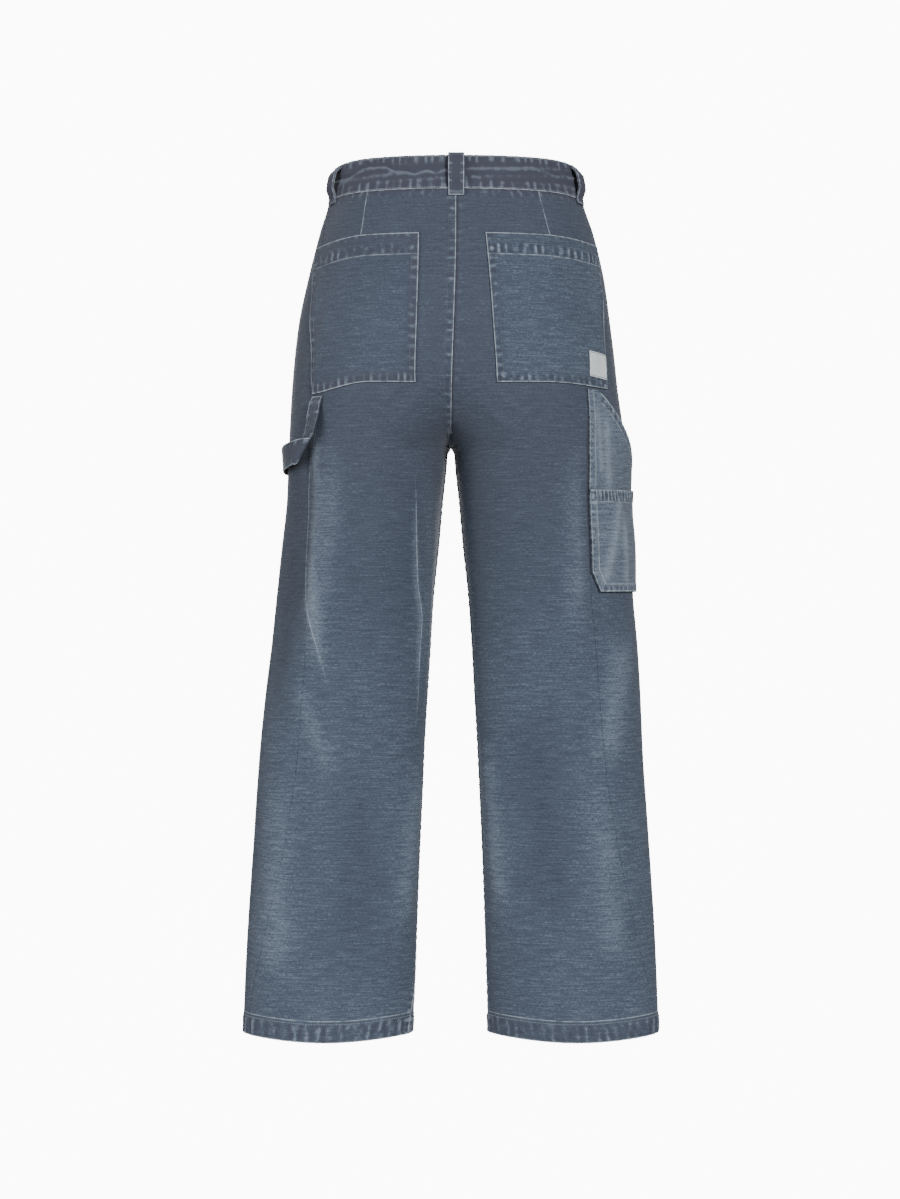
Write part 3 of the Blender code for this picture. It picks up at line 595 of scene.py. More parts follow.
def panel_levels():
    """Heights of the rows at the outermost line and at the inner edge."""
    top = WAIST_SEAM - SEAM_GAP
    starts = np.array(NEAR_EDGE) * MM
    trunk = np.concatenate([top - starts, np.linspace(top - starts[-1], SEAT_LEVEL, 64)[1:]])
    turn = np.arange(1, 53) / 52
    crotch_outer = SEAT_LEVEL - CROTCH_DROP * turn
    crotch_inner = SEAT_LEVEL + (CROTCH_LEVEL - SEAT_LEVEL) * np.sin(math.pi / 2 * turn)
    hem_line = HEM_LEVEL + HEM_ROWS[0] * MM
    down = np.arange(1, 240) / 240
    leg_outer = crotch_outer[-1] + (hem_line - crotch_outer[-1]) * down
    leg_inner = CROTCH_LEVEL + (hem_line - CROTCH_LEVEL) * down
    hem = HEM_LEVEL + np.array(HEM_ROWS) * MM
    outermost = np.concatenate([trunk, crotch_outer, leg_outer, hem])
    return outermost, np.concatenate([trunk, crotch_inner, leg_inner, hem])


def columns_over(width):
    """Shares of each row's width, with the same distances from both ends in every row."""
    ends = np.array(NEAR_EDGE)[None, :] * MM
    inside = width - 2 * ends[0, -1]
    middle = ends[0, -1] + inside * (np.arange(1, PANEL_COLUMNS) / PANEL_COLUMNS)[None, :]
    return np.concatenate([ends + 0 * width, middle, width - ends[:, ::-1]], axis=1) / width


def panel_grid(side, is_back):
    """Distances behind the outermost line and heights of a panel's points."""
    outer_level, inner_level = panel_levels()
    below = np.where(inner_level <= CROTCH_LEVEL + 1e-9, SEAM_GAP / 2, 0)
    swing = inseam_swing(side, inner_level)
    seam = (outseam_behind(side, outer_level) / girth_of(side, outer_level, "back"))[:, None]
    last = 1.0 if is_back else -1.0
    share = columns_over(np.full((len(outer_level), 1), 0.2))
    around = seam + (last - seam) * share
    for _ in range(5):
        nominal = seam + (last - seam) * share
        level = outer_level[:, None] + (inner_level - outer_level)[:, None] * nominal**2
        height = level + waist_drop(around, level) + hem_drop(around, level)
        start = outseam_behind(side, height[:, 0])
        over = np.where(below > 0, -below, SEAM_LAP if side == LEFT else 0)
        if is_back:
            start = start + SEAM_GAP / 2
            end = girth_of(side, height[:, -1], "back") - swing + over
        else:
            start = start - SEAM_GAP / 2
            end = -girth_of(side, height[:, -1], "front") - swing - over
        share = columns_over(np.abs(end - start)[:, None])
        behind = start[:, None] + (end - start)[:, None] * share
        around = np.clip(around_at(side, behind, height), -1.2, 1)
        around[:, -1] = last
    return behind, height


def layered(side, behind, height, top, bottom, relief=True):
    """Two grids above the body surface, the relief under them and the outward directions."""
    behind, height = np.broadcast_arrays(np.asarray(behind, float), np.asarray(height, float))
    back, front = girth_of(side, height, "back"), girth_of(side, height, "front")
    past = (behind < -front - 1e-6) & (height < CROTCH_LEVEL + 1e-6)
    behind = np.where(past, back + front + behind, behind)
    found = panel_relief(side, behind, height)
    rise = found[0] if relief else np.zeros(behind.shape)
    bare, normal = bare_points(side, behind, height), normals(side, behind, height)
    outer = bare + normal * (rise + top)[..., None]
    inner = bare + normal * (rise + bottom)[..., None]
    return outer, inner, found, normal


def panel(side, face, material):
    """One leg panel with its felled seams, darts, folds and turned hem."""
    is_back = face == "back"
    behind, height = panel_grid(side, is_back)
    _, ridge, pucker, line, at = panel_relief(side, behind, height)
    inner_edge = at["back"] if is_back else at["front"]
    lapped = 1.0 if side == LEFT else 0.0
    roll = rolled(at["hem"], 1.1) + rolled(np.abs(at["side"]), 0.7)
    roll = roll + 0.35 * MM * near(inner_edge, 0.5, 3) * lapped
    on_leg = height < CROTCH_LEVEL
    shown = inner_edge + np.where(on_leg, 0.1 * MM, SEAM_LAP if side == LEFT else 20 * MM)
    edge = least(shown, at["hem"], np.abs(at["side"]) + 2.5 * MM)
    thick = WALL + 0.9 * MM * near(at["hem"], HEM_HEIGHT / MM, HEM_HEIGHT / MM + 2)
    outer, inner, _, _ = layered(side, behind, height, roll, -thick)
    seat = ease((height - UNDER_SEAT) / (60 * MM))
    # Darker towards the seat, paler down the legs.
    darker_upward = 0.65 * ease((height - PALEST_BELOW) / (DARK_ABOVE - PALEST_BELOW))
    dye_and_shadow = np.maximum(0.55 * near(at["hem"], 20, 26), 0.9 * near(at["waist"], 3, 14))
    dye_and_shadow = np.maximum(dye_and_shadow, darker_upward)
    if side == RIGHT:
        # A painted shadow line beside the centre seam, where the left panel laps over the right on the seat.
        dye_and_shadow = dye_and_shadow + 3.0 * near(inner_edge, 1.6, 3.4) * seat * is_back
        # A painted shadow on the outseam along the tool pocket's rear edge.
        dye_and_shadow = dye_and_shadow + 3.5 * near(at["side"], 0.8, 2.2) * near(height + 366 * MM, 80, 85)
    # A painted shadow line just below the waistband seam.
    dye_and_shadow = dye_and_shadow + 2.2 * near(at["waist"], 1.0, 2.4)
    # Painted light on the fold ridges and painted shade in the fold hollows, with painted light beside the
    # creases.
    share = np.clip(fold_rise(side, behind, height) / (3.5 * MM), -1, 1)
    high = 1.6 * share * np.sqrt(np.abs(share)) + 1.9 * crease_line(side, behind, height)[1]
    looks = looks_of(edge, ridge, pucker, line, high, dye_and_shadow)
    made = sheet_of(f"{face}_{SIDE_NAMES[side]}_panel", outer, inner, behind, height, looks, material)
    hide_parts(f"{face}_{SIDE_NAMES[side]}")
    return made


# %% [markdown]
# Stitches are small capsules of thread laid along lines on the cloth. Each line is kept here while its
# piece is made, and Geometry Nodes sets the stitches later, all in one way. Names that end in ROW or
# ROWS tell, in millimetres, how far from an edge a row lies or, on a belt loop, how far from its middle.

# %% Lines to sew
SEWN = {}


def sew(group, points, facing):
    """Keeps a line of stitches: its points and which way the cloth faces there."""
    SEWN.setdefault(group, []).append((np.asarray(points, float), np.asarray(facing, float)))


def sew_on(group, side, behind, height, lift=0.0, relief=True):
    """A line of stitches on the body surface, at a lift above the panels."""
    behind, height, lift = np.broadcast_arrays(
        np.asarray(behind, float), np.asarray(height, float), np.asarray(lift, float)
    )
    outer, _, _, normal = layered(side, behind, height, lift, lift, relief)
    sew(group, outer, normal)


def polyline(corners, step=2.0):
    """Points in metres every few millimetres along straight runs between corners in millimetres."""
    corners = np.array(corners, float)
    run = walked_along(corners)
    at = np.linspace(0, run[-1], max(2, int(run[-1] / step)))
    return np.interp(at, run, corners[:, 0]) * MM, np.interp(at, run, corners[:, 1]) * MM


# %% [markdown]
# The waistband is one strip of doubled canvas, from the buttoned overlap round the body to the end
# under it. A body bends at the waist, so the strip is crumpled along its middle and roped at its edges.

# %% Waistband
BAND_WALL = 2.6 * MM
BAND_LAP = 20 * MM
LAP_RAMP = 30 * MM
BAND_STEP = 0.02
BAND_ROW = 2.3


def band_columns():
    """Side, around, lift and distance along the strip of each of the waistband's columns."""
    girth = {side: float(girth_of(side, np.array([0.0]), "front")[0]) for side in (LEFT, RIGHT)}
    over = 3.0 * MM + 0.8 * MM
    lap = BAND_LAP / girth[RIGHT]
    tip = np.array([20, 19.6, 19, 18, 16.5, 14, 11, 8, 5, 2.5]) / 20
    places = [(RIGHT, -1 + lap * share, over) for share in tip]
    for around in np.linspace(-1, 1, int(2 / BAND_STEP) + 1):
        beyond = (around + 1) * girth[LEFT] - BAND_LAP - 2 * MM
        places.append((LEFT, around, over * float(1 - ease(beyond / LAP_RAMP))))
    places += [(RIGHT, around, 0.0) for around in np.linspace(1, -1, int(2 / BAND_STEP) + 1)[1:]]
    places += [(LEFT, -1 + BAND_LAP / girth[LEFT] * share, 0.0) for share in tip[::-1]]
    return [np.array(values) for values in zip(*places)]


def band_points(side, around, height, lift):
    """Points of the waistband's columns, whichever side they are on."""
    points, facing = np.zeros(around.shape + (3,)), np.zeros(around.shape + (3,))
    for half in (LEFT, RIGHT):
        behind = around * girth_toward(half, around, height)
        outer, _, _, normal = layered(half, behind, height, lift, lift, relief=False)
        chosen = side == half
        points[chosen], facing[chosen] = outer[chosen], normal[chosen]
    return points, facing


def band_relief(along, down, width):
    """The rise, ridge and pucker of the waistband: roped edges and a crumpled middle."""
    top, bottom = down, width - down
    upper, lower = near(top, 6, 13), near(bottom, 7, 15)
    top_wave, bottom_wave = ripple(along, down, 6, 51), ripple(along, down, 11, 52)
    drift = 4 * MM * np.sin(along * 31 + 1.0) + 3 * MM * np.sin(along * 73)
    drift = drift + 2 * MM * ripple(along, down, 30, 54)
    strength = 0.55 + 0.45 * np.sin(along * 19 + 2.0)
    crease = bell(down - 15.5 * MM - drift, 2.2) * strength
    crest = bell(down - 19.5 * MM - drift, 1.8) * strength
    middle = ripple(down, along * 0.25, 13, 53, 0.15) * near(down - width / 2, 6, 16)
    roped = upper * top_wave + lower * bottom_wave
    ridge = roped + 0.7 * middle + 1.2 * crest - 1.2 * crease
    rise = (0.45 * roped + 0.4 * middle + 1.0 * crest - 1.1 * crease) * MM
    return 1.4 * rise, np.clip(1.4 * ridge, -1, 1), np.maximum(np.maximum(upper, lower), 0.8)


def waistband(material):
    """The waistband, with its rows of stitching at both edges."""
    side, around, lift = band_columns()
    down = stops(WAIST_TOP - WAIST_SEAM, 1.7 * MM)[:, None]
    shape = (len(down), len(around))
    side, around, lift = (np.broadcast_to(values, shape) for values in (side, around, lift))
    height = WAIST_TOP - down + waist_drop(around, np.zeros(shape))
    base, _ = band_points(side, around, height, lift + BAND_PROUD)
    along = walked_along(base[len(down) // 2])[None, :] * np.ones(shape)
    down = down * np.ones(shape)
    width = WAIST_TOP - WAIST_SEAM
    edge = least(down, width - down, along, along.max() - along)
    rise, ridge, pucker = band_relief(along, down, width)
    rise = rise + rolled(edge, 1.2) - sunk(edge, BAND_ROW, 0.4, 1.2)
    outer, _ = band_points(side, around, height, lift + BAND_PROUD + rise)
    inner, _ = band_points(side, around, height, lift + BAND_PROUD - BAND_WALL + 0.5 * rise)
    looks = looks_of(edge + 0.25 * MM, ridge, pucker, 0.02, 0.0, 1.9)
    made = sheet_of("waistband_strip", outer, inner, along, -down, looks, material)
    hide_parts("waistband")
    facing = band_points(side, around, height, lift)[1]
    for away in (BAND_ROW * MM, width - BAND_ROW * MM):
        row = np.interp(away, down[:, 0], np.arange(len(down)))
        low = int(row)
        sew("waist", outer[low] + (outer[low + 1] - outer[low]) * (row - low), facing[low])
    return made


# %% [markdown]
# A belt loop is a folded strap, tacked at the top and the bottom of the waistband, with room for a
# belt between. Its folded edges wear pale. The one at the back crosses the centre seam, so its points
# may belong to either leg's half of the surface.

# %% Belt loops
LOOP_WIDTH = 18 * MM
LOOP_WALL = 2.0 * MM
LOOP_ROW = 5.2


def over_centre(side, behind, height, top, bottom, relief=True):
    """The layers of a piece that may cross the centre seam: beyond it, the other side's points are used."""
    back, front = girth_of(side, height, "back"), girth_of(side, height, "front")
    own = layered(side, np.clip(behind, -front, back), height, top, bottom, relief)
    extra_back, extra_front = np.maximum(behind - back, 0), np.maximum(-behind - front, 0)
    across_back = girth_of(-side, height, "back") - extra_back
    across_front = -(girth_of(-side, height, "front") - extra_front)
    other = layered(-side, np.where(extra_back > 0, across_back, across_front), height, top, bottom, relief)
    crossed = ((extra_back > 0) | (extra_front > 0))[..., None]
    return tuple(np.where(crossed, other[number], own[number]) for number in (0, 1, 3))


def belt_loop(title, side, around, top, length, room, material):
    """A strap down the waistband that leaves this much room for a belt, sewn at both ends."""
    across = stops(LOOP_WIDTH, 1.5 * MM)[None, :] - LOOP_WIDTH / 2
    run = stops(length, 1.2 * MM)[:, None]
    knots = np.array([0, 0.04, 0.12, 0.26, 0.42, 0.58, 0.70, 0.80, 0.88, 1.0])
    bulge = smooth_through(run / length, knots, np.array([0, 0, 0.5, 0.95, 1, 0.95, 0.6, 0.15, 0, 0])) * room
    height = top - run
    past_band = ease((WAIST_SEAM + 2 * MM - height) / (4 * MM))
    lift = bulge + LAYER + BAND_PROUD + 0.3 * MM - (BAND_PROUD - 0.2 * MM) * past_band
    girth = girth_toward(side, around, height)
    behind = around * girth + across
    height = height + waist_drop(np.clip(behind / girth, -1, 1), np.zeros(behind.shape))
    behind = around * girth_toward(side, around, height) + across
    edge = least(across + LOOP_WIDTH / 2, LOOP_WIDTH / 2 - across, run, length - run)
    wave = ripple(run, across, 7, 61 + len(title)) * near(edge, 1, 8)
    rise = rolled(edge, 1.2) + 0.25 * MM * wave - sunk(np.abs(across), LOOP_ROW, 0.35)
    face = lift + LOOP_WALL + rise
    outer, inner, facing = over_centre(side, behind, height, face, lift, relief=False)
    looks = looks_of(edge, np.clip(wave, -1, 1), near(edge, 2, 9), 0.02, 0.0, 2.4)
    made = sheet_of(f"{title}_strap", outer, inner, across, -run, looks, material)
    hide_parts(title)
    columns = np.interp([-LOOP_ROW * MM, LOOP_ROW * MM], across[0], np.arange(across.size))
    for number in columns.round().astype(int):
        sew("loops", outer[2:-2, number], facing[2:-2, number])
    tacks = [2.2 * MM, 3.4 * MM, length - 3.6 * MM, length - 2.4 * MM]
    rows = np.interp(tacks, run[:, 0], np.arange(run.size))
    for number in rows.round().astype(int):
        sew("tacks", outer[number, 3:-3], facing[number, 3:-3])
    return made


# %% [markdown]
# The fly shows on the hidden front as one layer that laps over the centre seam, with its curved seam.
# It is finished plainly, because the photograph shows the back only.

# %% Fly
FLY_WIDTH, FLY_OVERLAP, FLY_BOTTOM = 40 * MM, 6 * MM, -200 * MM
FLY_LENGTH = 155 * MM
FLY_CURVE = 55 * MM


def fly(material):
    """The fly's outer layer, with its curved row of stitches."""
    share = stops(FLY_WIDTH + FLY_OVERLAP, 2.5 * MM)[None, :] / (FLY_WIDTH + FLY_OVERLAP)
    top = -FRONT_DROP + WAIST_SEAM - 0.6 * MM
    curve = np.sqrt(np.clip(1 - share**2.4, 0, 1))
    bottom = FLY_BOTTOM + (1 - curve) * FLY_CURVE
    down = stops(FLY_LENGTH, 2.5 * MM)[:, None] / FLY_LENGTH
    height = top + (bottom - top) * down
    reach = (-FLY_OVERLAP + (FLY_WIDTH + FLY_OVERLAP) * share) * np.ones_like(height)
    behind = reach - girth_of(LEFT, height, "front")
    tall = top - bottom
    edge = least(reach + FLY_OVERLAP, FLY_WIDTH - reach, down * tall, (1 - down) * tall)
    wave = ripple(height, reach, 9, 71) * near(edge, 1, 10)
    face = LAYER + WALL + rolled(edge) + 0.25 * MM * wave
    outer, inner, _ = over_centre(LEFT, behind, height, face, LAYER)
    looks = looks_of(edge, np.clip(wave, -1, 1), near(edge, 2, 12), 0.02, 0.0, 0.0)
    made = sheet_of("fly_layer", outer, inner, reach, height, looks, material)
    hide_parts("fly")
    for inset in (3, 9):
        line = np.linspace(0.02, 1, 90)
        stitched = (FLY_WIDTH - inset * MM) * (1 - np.clip((line - 0.72) / 0.28, 0, 1) ** 2.2 * 0.86)
        low = top + (FLY_BOTTOM + (2 + inset) * MM - top) * line
        across = stitched - girth_of(LEFT, low, "front")
        points, _, facing = over_centre(LEFT, across, low, LAYER + WALL, LAYER + WALL)
        sew("seams", points, facing)
    return made


# %% [markdown]
# Two large patch pockets lie on the seat. Their allowance is turned under, so a pocket is thicker for
# the width of a finger along its edges, and its mouth has a wide turned band. The lie of the corners
# was measured along the cloth from the centre seam.

# %% Back pockets
Pocket = namedtuple("Pocket", "side inner_top inner_bottom outer_top outer_bottom sag_top sag_bottom")
POCKETS = [
    Pocket(LEFT, 41, 41, 198, 169, 8, 11),
    Pocket(RIGHT, 32, 51, 199, 198, 5, 4),
]
POCKET_TOP, POCKET_BOTTOM = -71 * MM, -240 * MM
POCKET_WALL = 1.3 * MM
POCKET_WIDTH = 157 * MM
POCKET_ROWS = (2.0, 8.4)
POCKET_HEM_ROW = 23.6


def pocket_at(pocket, share, down):
    """Distance behind the outermost line, height, and distances from the edges, at shares of the pocket."""
    tall = POCKET_TOP - POCKET_BOTTOM
    inner = (pocket.inner_top + (pocket.inner_bottom - pocket.inner_top) * down) * MM
    outer = (pocket.outer_top + (pocket.outer_bottom - pocket.outer_top) * down) * MM
    distance = inner + (outer - inner) * share
    sag = pocket.sag_top + (pocket.sag_bottom - pocket.sag_top) * down
    height = POCKET_TOP - tall * down - sag * MM * ease((share - 0.4) / 0.6)
    behind = girth_of(pocket.side, height, "back") - distance
    return behind, height, distance - inner, outer - distance, down * tall, (1 - down) * tall


def pocket_lift(pocket, at):
    """Lift of the pocket's face, with its ridge, pucker, edge distance, marked line and outer third."""
    behind, height, inner, outer, top, bottom = at
    seed = 81 + pocket.side
    sides = np.minimum(inner, outer)
    edge = least(sides, top, bottom)
    band = near(top, 23.5, 25.2)
    turned = near(np.minimum(sides, bottom), 10.5, 13.5)
    windows = [
        (near(sides, 6, 14) * 0.7, ripple(height, sides, 8, seed), 0.45),
        (near(bottom, 6, 14), ripple(inner, bottom, 7, seed + 2), 0.45),
        (near(top - 19 * MM, 4, 9) * band, 0.8 * ripple(inner, top, 8, seed + 4), 0.45),
        (near(top, 1, 8) * 0.7, ripple(inner, top, 10, seed + 6), 0.25),
    ]
    waves, ridge, pucker = puckered(windows)
    lift = LAYER + POCKET_WALL + 0.5 * MM * np.maximum(band, turned) + rolled(edge, 1.1) + waves
    outer_third = ease((inner - 90 * MM) / (50 * MM)) * near(top - 95 * MM, 35, 80)
    lift = lift + 1.1 * MM * outer_third * ripple(behind, height * 0.12, 24, seed + 8)
    lift = lift - sunk(edge, POCKET_ROWS[0], 0.3) - sunk(np.minimum(sides, bottom), POCKET_ROWS[1], 0.3)
    lift = lift - sunk(top, 24, 0.45, 1.4)
    line = np.where(top > 12 * MM, top - 25 * MM, 0.02)
    return lift, ridge, pucker, edge, line, outer_third


def sew_pocket(pocket, share, down):
    """A line of stitches on a patch pocket, at shares of its width and height."""
    at = pocket_at(pocket, share, down)
    sew_on("pockets", pocket.side, at[0], at[1], pocket_lift(pocket, at)[0])


def back_pocket(pocket, material):
    """A patch pocket and its rows of stitches."""
    tall = POCKET_TOP - POCKET_BOTTOM
    share = stops(POCKET_WIDTH, 2.6 * MM)[None, :] / POCKET_WIDTH
    extra = np.array([20.5, 22, 23, 24, 24.6, 25.2, 26, 27.5]) * MM
    down = np.unique(np.concatenate([stops(tall, 2.4 * MM), extra]))[:, None] / tall
    share, down = np.broadcast_arrays(share, down)
    at = pocket_at(pocket, share, down)
    lift, ridge, pucker, edge, line, outer_third = pocket_lift(pocket, at)
    behind, height, to_inner, to_outer, to_top, to_bottom = at
    outer, inner, _, _ = layered(pocket.side, behind, height, lift, LAYER)
    dye_and_shadow = np.maximum(0.3 * near(to_top, 22, 26), 0.6 * near(least(to_inner, to_outer, to_bottom), 5, 15))
    dye_and_shadow = dye_and_shadow + (0.5 if pocket.side == LEFT else -0.2)
    looks = looks_of(edge, ridge, pucker, line, 0.35 * outer_third, dye_and_shadow)
    name = f"back_pocket_{SIDE_NAMES[pocket.side]}"
    made = sheet_of(f"{name}_patch", outer, inner, behind, height, looks, material)
    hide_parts(name)
    for inset, first in zip(POCKET_ROWS, (POCKET_ROWS[0], 25)):
        low, start, deep = inset * MM / POCKET_WIDTH, first * MM / tall, 1 - inset * MM / tall
        corners = np.array([(low, start), (low, deep), (1 - low, deep), (1 - low, start)])
        sew_pocket(pocket, *polyline(corners / MM, 8))
    for inset in (POCKET_ROWS[0], POCKET_HEM_ROW):
        sew_pocket(pocket, np.linspace(0.012, 0.988, 90), np.full(90, inset * MM / tall))
    return made


# %% [markdown]
# On the right leg, a large tool pocket is sewn into the outseam, and its slanted mouth stands away
# from the leg. A smaller one lies on it. Both have the same chamfered corner at the rear, and both are
# laid out in two measures: how far ahead of the outseam, and how high. The heights of the foot and its
# two corners are in millimetres, like the table that holds them.

# %% Tool pockets
TOOL_WIDTH = 135 * MM
TOOL_FOOT, TOOL_REAR_FOOT, TOOL_FRONT_FOOT = -474, -450, -452
Edge = namedtuple("Edge", "ahead top bottom")
TOOL_EDGES = [
    Edge(0, -245.5, TOOL_REAR_FOOT),
    Edge(10, -245.5, TOOL_FOOT),
    Edge(18, -245.5, TOOL_FOOT),
    Edge(27, -252, TOOL_FOOT),
    Edge(73, -296, TOOL_FOOT),
    Edge(99, -318, TOOL_FOOT),
    Edge(125, -336, TOOL_FOOT),
    Edge(135, -342, TOOL_FRONT_FOOT),
]
TOOL_LOWER_TOP = -357 * MM
TOOL_LENGTH, TOOL_LOWER_LENGTH = 190 * MM, 117 * MM
TOOL_GAPE = 6.5 * MM
TOOL_GAPE_DEPTH = 80 * MM
TOOL_ROWS = (2.2, 8.2)
TOOL_SLANT = 0.72


def tool_edge(column, ahead):
    """Heights of the tool pocket's top or bottom edge at these distances from the outseam."""
    knots = [edge.ahead * MM for edge in TOOL_EDGES]
    return np.interp(ahead, knots, [getattr(edge, column) * MM for edge in TOOL_EDGES])


def tool_gape(ahead, height):
    """How far the large pocket stands away from the leg: most at its mouth."""
    along = np.clip((ahead - 18 * MM) / (TOOL_WIDTH - 18 * MM), 0, 1)
    below = (tool_edge("top", ahead) - height) / TOOL_GAPE_DEPTH
    return TOOL_GAPE * np.sin(math.pi * along) * ease(1 - below)


def tool_distances(ahead, height, top):
    """Distances in metres from the sewn edges and from the top edge."""
    run, rear_rise, front_rise = 10, TOOL_REAR_FOOT - TOOL_FOOT, TOOL_FRONT_FOOT - TOOL_FOOT
    chamfer = rear_rise * ahead + run * (height - TOOL_REAR_FOOT * MM)
    chamfer = chamfer / math.hypot(rear_rise, run)
    front = front_rise * (TOOL_WIDTH - ahead) + run * (height - TOOL_FRONT_FOOT * MM)
    front = front / math.hypot(front_rise, run)
    sewn = least(ahead, chamfer, height - TOOL_FOOT * MM, TOOL_WIDTH - ahead)
    sewn = np.maximum(np.minimum(sewn, np.where(height < -440 * MM, front, 1.0)), 0)
    return sewn, np.maximum(top - height, 0)


def tool_layer(ahead, height, is_lower):
    """Lift of a tool pocket's face, with its ridge, pucker, edge, marked line and painted light and shade.
    """
    top = TOOL_LOWER_TOP if is_lower else tool_edge("top", ahead)
    sewn, mouth = tool_distances(ahead, height, top)
    slant = 1.0 if is_lower else np.where(ahead > 20 * MM, TOOL_SLANT, 1.0)
    hidden = 0.0 if is_lower else 40 * MM * ease((22 * MM - ahead) / (4 * MM))
    mouth, fallen = mouth * slant + hidden, mouth
    hem = 13.0 if is_lower else 7.6
    band = near(mouth, hem + 0.5, hem + 2.2)
    seed = 101 if is_lower else 111
    turned = near(sewn, 9.5, 12)
    windows = [
        (near(sewn, 4, 11) * 0.8, ripple(np.where(height < -462 * MM, ahead, height), sewn, 5, seed), 0.25),
        (band, ripple(ahead, mouth, 6, seed + 2), 0.30),
    ]
    lift = LAYER + WALL + tool_gape(ahead, height) + 0.45 * MM * np.maximum(band, turned)
    if is_lower:
        down = np.clip((TOOL_LOWER_TOP - height) / TOOL_LOWER_LENGTH, 0, 1)
        share = ahead / TOOL_WIDTH
        swell = np.sin(math.pi * share) * np.sin(math.pi * np.clip((down - 0.1) / 0.9, 0, 1))
        first = bell(ahead - (50 - 36 * down) * MM, 6)
        second = bell(ahead - (52 - 2 * down) * MM, 5) * ease(down / 0.5)
        folds = np.maximum(first, second) * near(down - 0.5, 340, 480)
        lift = lift + LAYER + WALL + 0.6 * MM + 1.6 * MM * swell + 1.8 * MM * folds
        # Painted light on the lower pocket's folds and painted shade between them.
        high = 2 * folds - 0.5
    else:
        down = (-262 * MM - height) / (80 * MM)
        first = bell(ahead - (14 + 5 * down) * MM, 4) * near(down - 0.5, 300, 600)
        second = bell(ahead - (27 + 3 * down) * MM, 6) * near(down - 0.7, 300, 700)
        soft = np.maximum(first, second)
        lift = lift + 1.2 * MM * soft
        # Painted light on the upper pocket's soft folds and painted shade between them.
        high = 2 * soft - 0.5
    waves, ridge, pucker = puckered(windows)
    lift = lift + waves + rolled(np.minimum(sewn, fallen), 1.1)
    for inset in TOOL_ROWS:
        lift = lift - sunk(sewn, inset, 0.35)
    lift = lift - sunk(mouth, hem, 0.4, 1.2) - sunk(mouth, 2.2, 0.3)
    line = np.where(mouth > 5 * MM, mouth - (hem + 1.4) * MM, 0.02)
    line = np.where(np.abs(sewn - 9.6 * MM) < np.abs(line), sewn - 9.6 * MM, line)
    # A painted shadow line along the lower edge of the mouth's turned band.
    high = high - 3 * near(mouth - (hem - 0.6) * MM, 0.3, 1.5)
    return lift, ridge, pucker, np.minimum(sewn - 0.4 * MM, mouth), line, high


def sew_tool(ahead, height, is_lower):
    """A line of stitches on a tool pocket."""
    lift = tool_layer(ahead, height, is_lower)[0]
    sew_on("tools", RIGHT, outseam_behind(RIGHT, height) - ahead, height, lift)


def tool_pocket(title, is_lower, material):
    """One of the two tool pockets, with its double rows of stitches."""
    corners = np.array([0.15, 10, 18, 27, 73, 99, 125, 134.85])
    ahead = np.unique(np.concatenate([corners, stops(134.7 * MM, 2.3 * MM) / MM + 0.15]))[None, :] * MM
    top = TOOL_LOWER_TOP + 0 * ahead if is_lower else tool_edge("top", ahead)
    bottom = tool_edge("bottom", ahead)
    tall = TOOL_LOWER_LENGTH if is_lower else TOOL_LENGTH
    down = stops(tall, 2.2 * MM)[:, None] / tall
    height = top + (bottom - top) * down
    ahead = ahead + 0 * height
    behind = outseam_behind(RIGHT, height) - ahead
    lift, ridge, pucker, edge, line, high = tool_layer(ahead, height, is_lower)
    floor = LAYER + tool_gape(ahead, height) + (LAYER + WALL + 0.6 * MM if is_lower else 0.0)
    outer, inner, _, _ = layered(RIGHT, behind, height, lift, floor)
    looks = looks_of(edge, ridge, pucker, line, high, -2.2)
    made = sheet_of(f"{title}_patch", outer, inner, behind, height, looks, material)
    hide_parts(title)
    for inset in TOOL_ROWS:
        foot, front = TOOL_FOOT + inset, 134.8 - inset
        rear_top = -357 - inset if is_lower else -247
        front_top = -360 if is_lower else -345 - inset
        chamfer = [(inset, TOOL_REAR_FOOT - inset * 0.2), (10 + inset * 0.45, foot)]
        sew_tool(*polyline([(inset, rear_top), *chamfer, (front, foot)]), is_lower)
        sew_tool(*polyline([(front, foot + 2), (front, front_top)]), is_lower)
    for inset in (2.2, 12.6 if is_lower else 7.2):
        across = np.linspace(3 if is_lower else 20, 132, 120) * MM
        below = inset * MM if is_lower else inset * MM / TOOL_SLANT
        low = (TOOL_LOWER_TOP if is_lower else tool_edge("top", across)) - below + 0 * across
        sew_tool(across, low, is_lower)
    return made


# %% [markdown]
# The hammer loop hangs from the left outseam to the front of the thigh. It drops, folds over and stands
# off the leg, so it isn't part of the body surface: its two edges are given station by station.

# %% Hammer loop
STRAP_WALL = 1.5 * MM
STRAP_WIDTH = 27 * MM
STRAP_ROWS = (2.0, 7.0)
StrapEnd = namedtuple("StrapEnd", "rear_behind front_behind rear_height front_height")
STRAP_START = StrapEnd(117, 100, -253, -253)
STRAP_FINISH = StrapEnd(-104, -104, -318, -345)
Station = namedtuple("Station", "rear_x rear_y rear_z front_x front_y front_z")
STATIONS = [
    Station(154.5, 111.5, -266, 168, 96, -268),
    Station(157, 114.5, -279, 170, 93, -284),
    Station(160, 116.5, -290, 174, 92, -300),
    Station(162.5, 115, -297.5, 177.5, 93, -315),
    Station(165.5, 112.5, -300.5, 180, 96, -326.5),
    Station(172, 108, -300.5, 183, 96.5, -330),
    Station(181, 98, -302, 186, 91, -331),
    Station(190, 82, -304.5, 191, 78, -333),
    Station(197, 60, -307, 195.5, 57, -334.5),
    Station(199.5, 34, -309.5, 198, 32, -336),
    Station(199.5, 8, -310, 198, 7, -337),
    Station(197.5, -18, -310.5, 196, -18, -337.5),
    Station(193, -42, -311, 193, -42, -338.5),
    Station(184.5, -63, -313.5, 185.5, -63, -341),
]


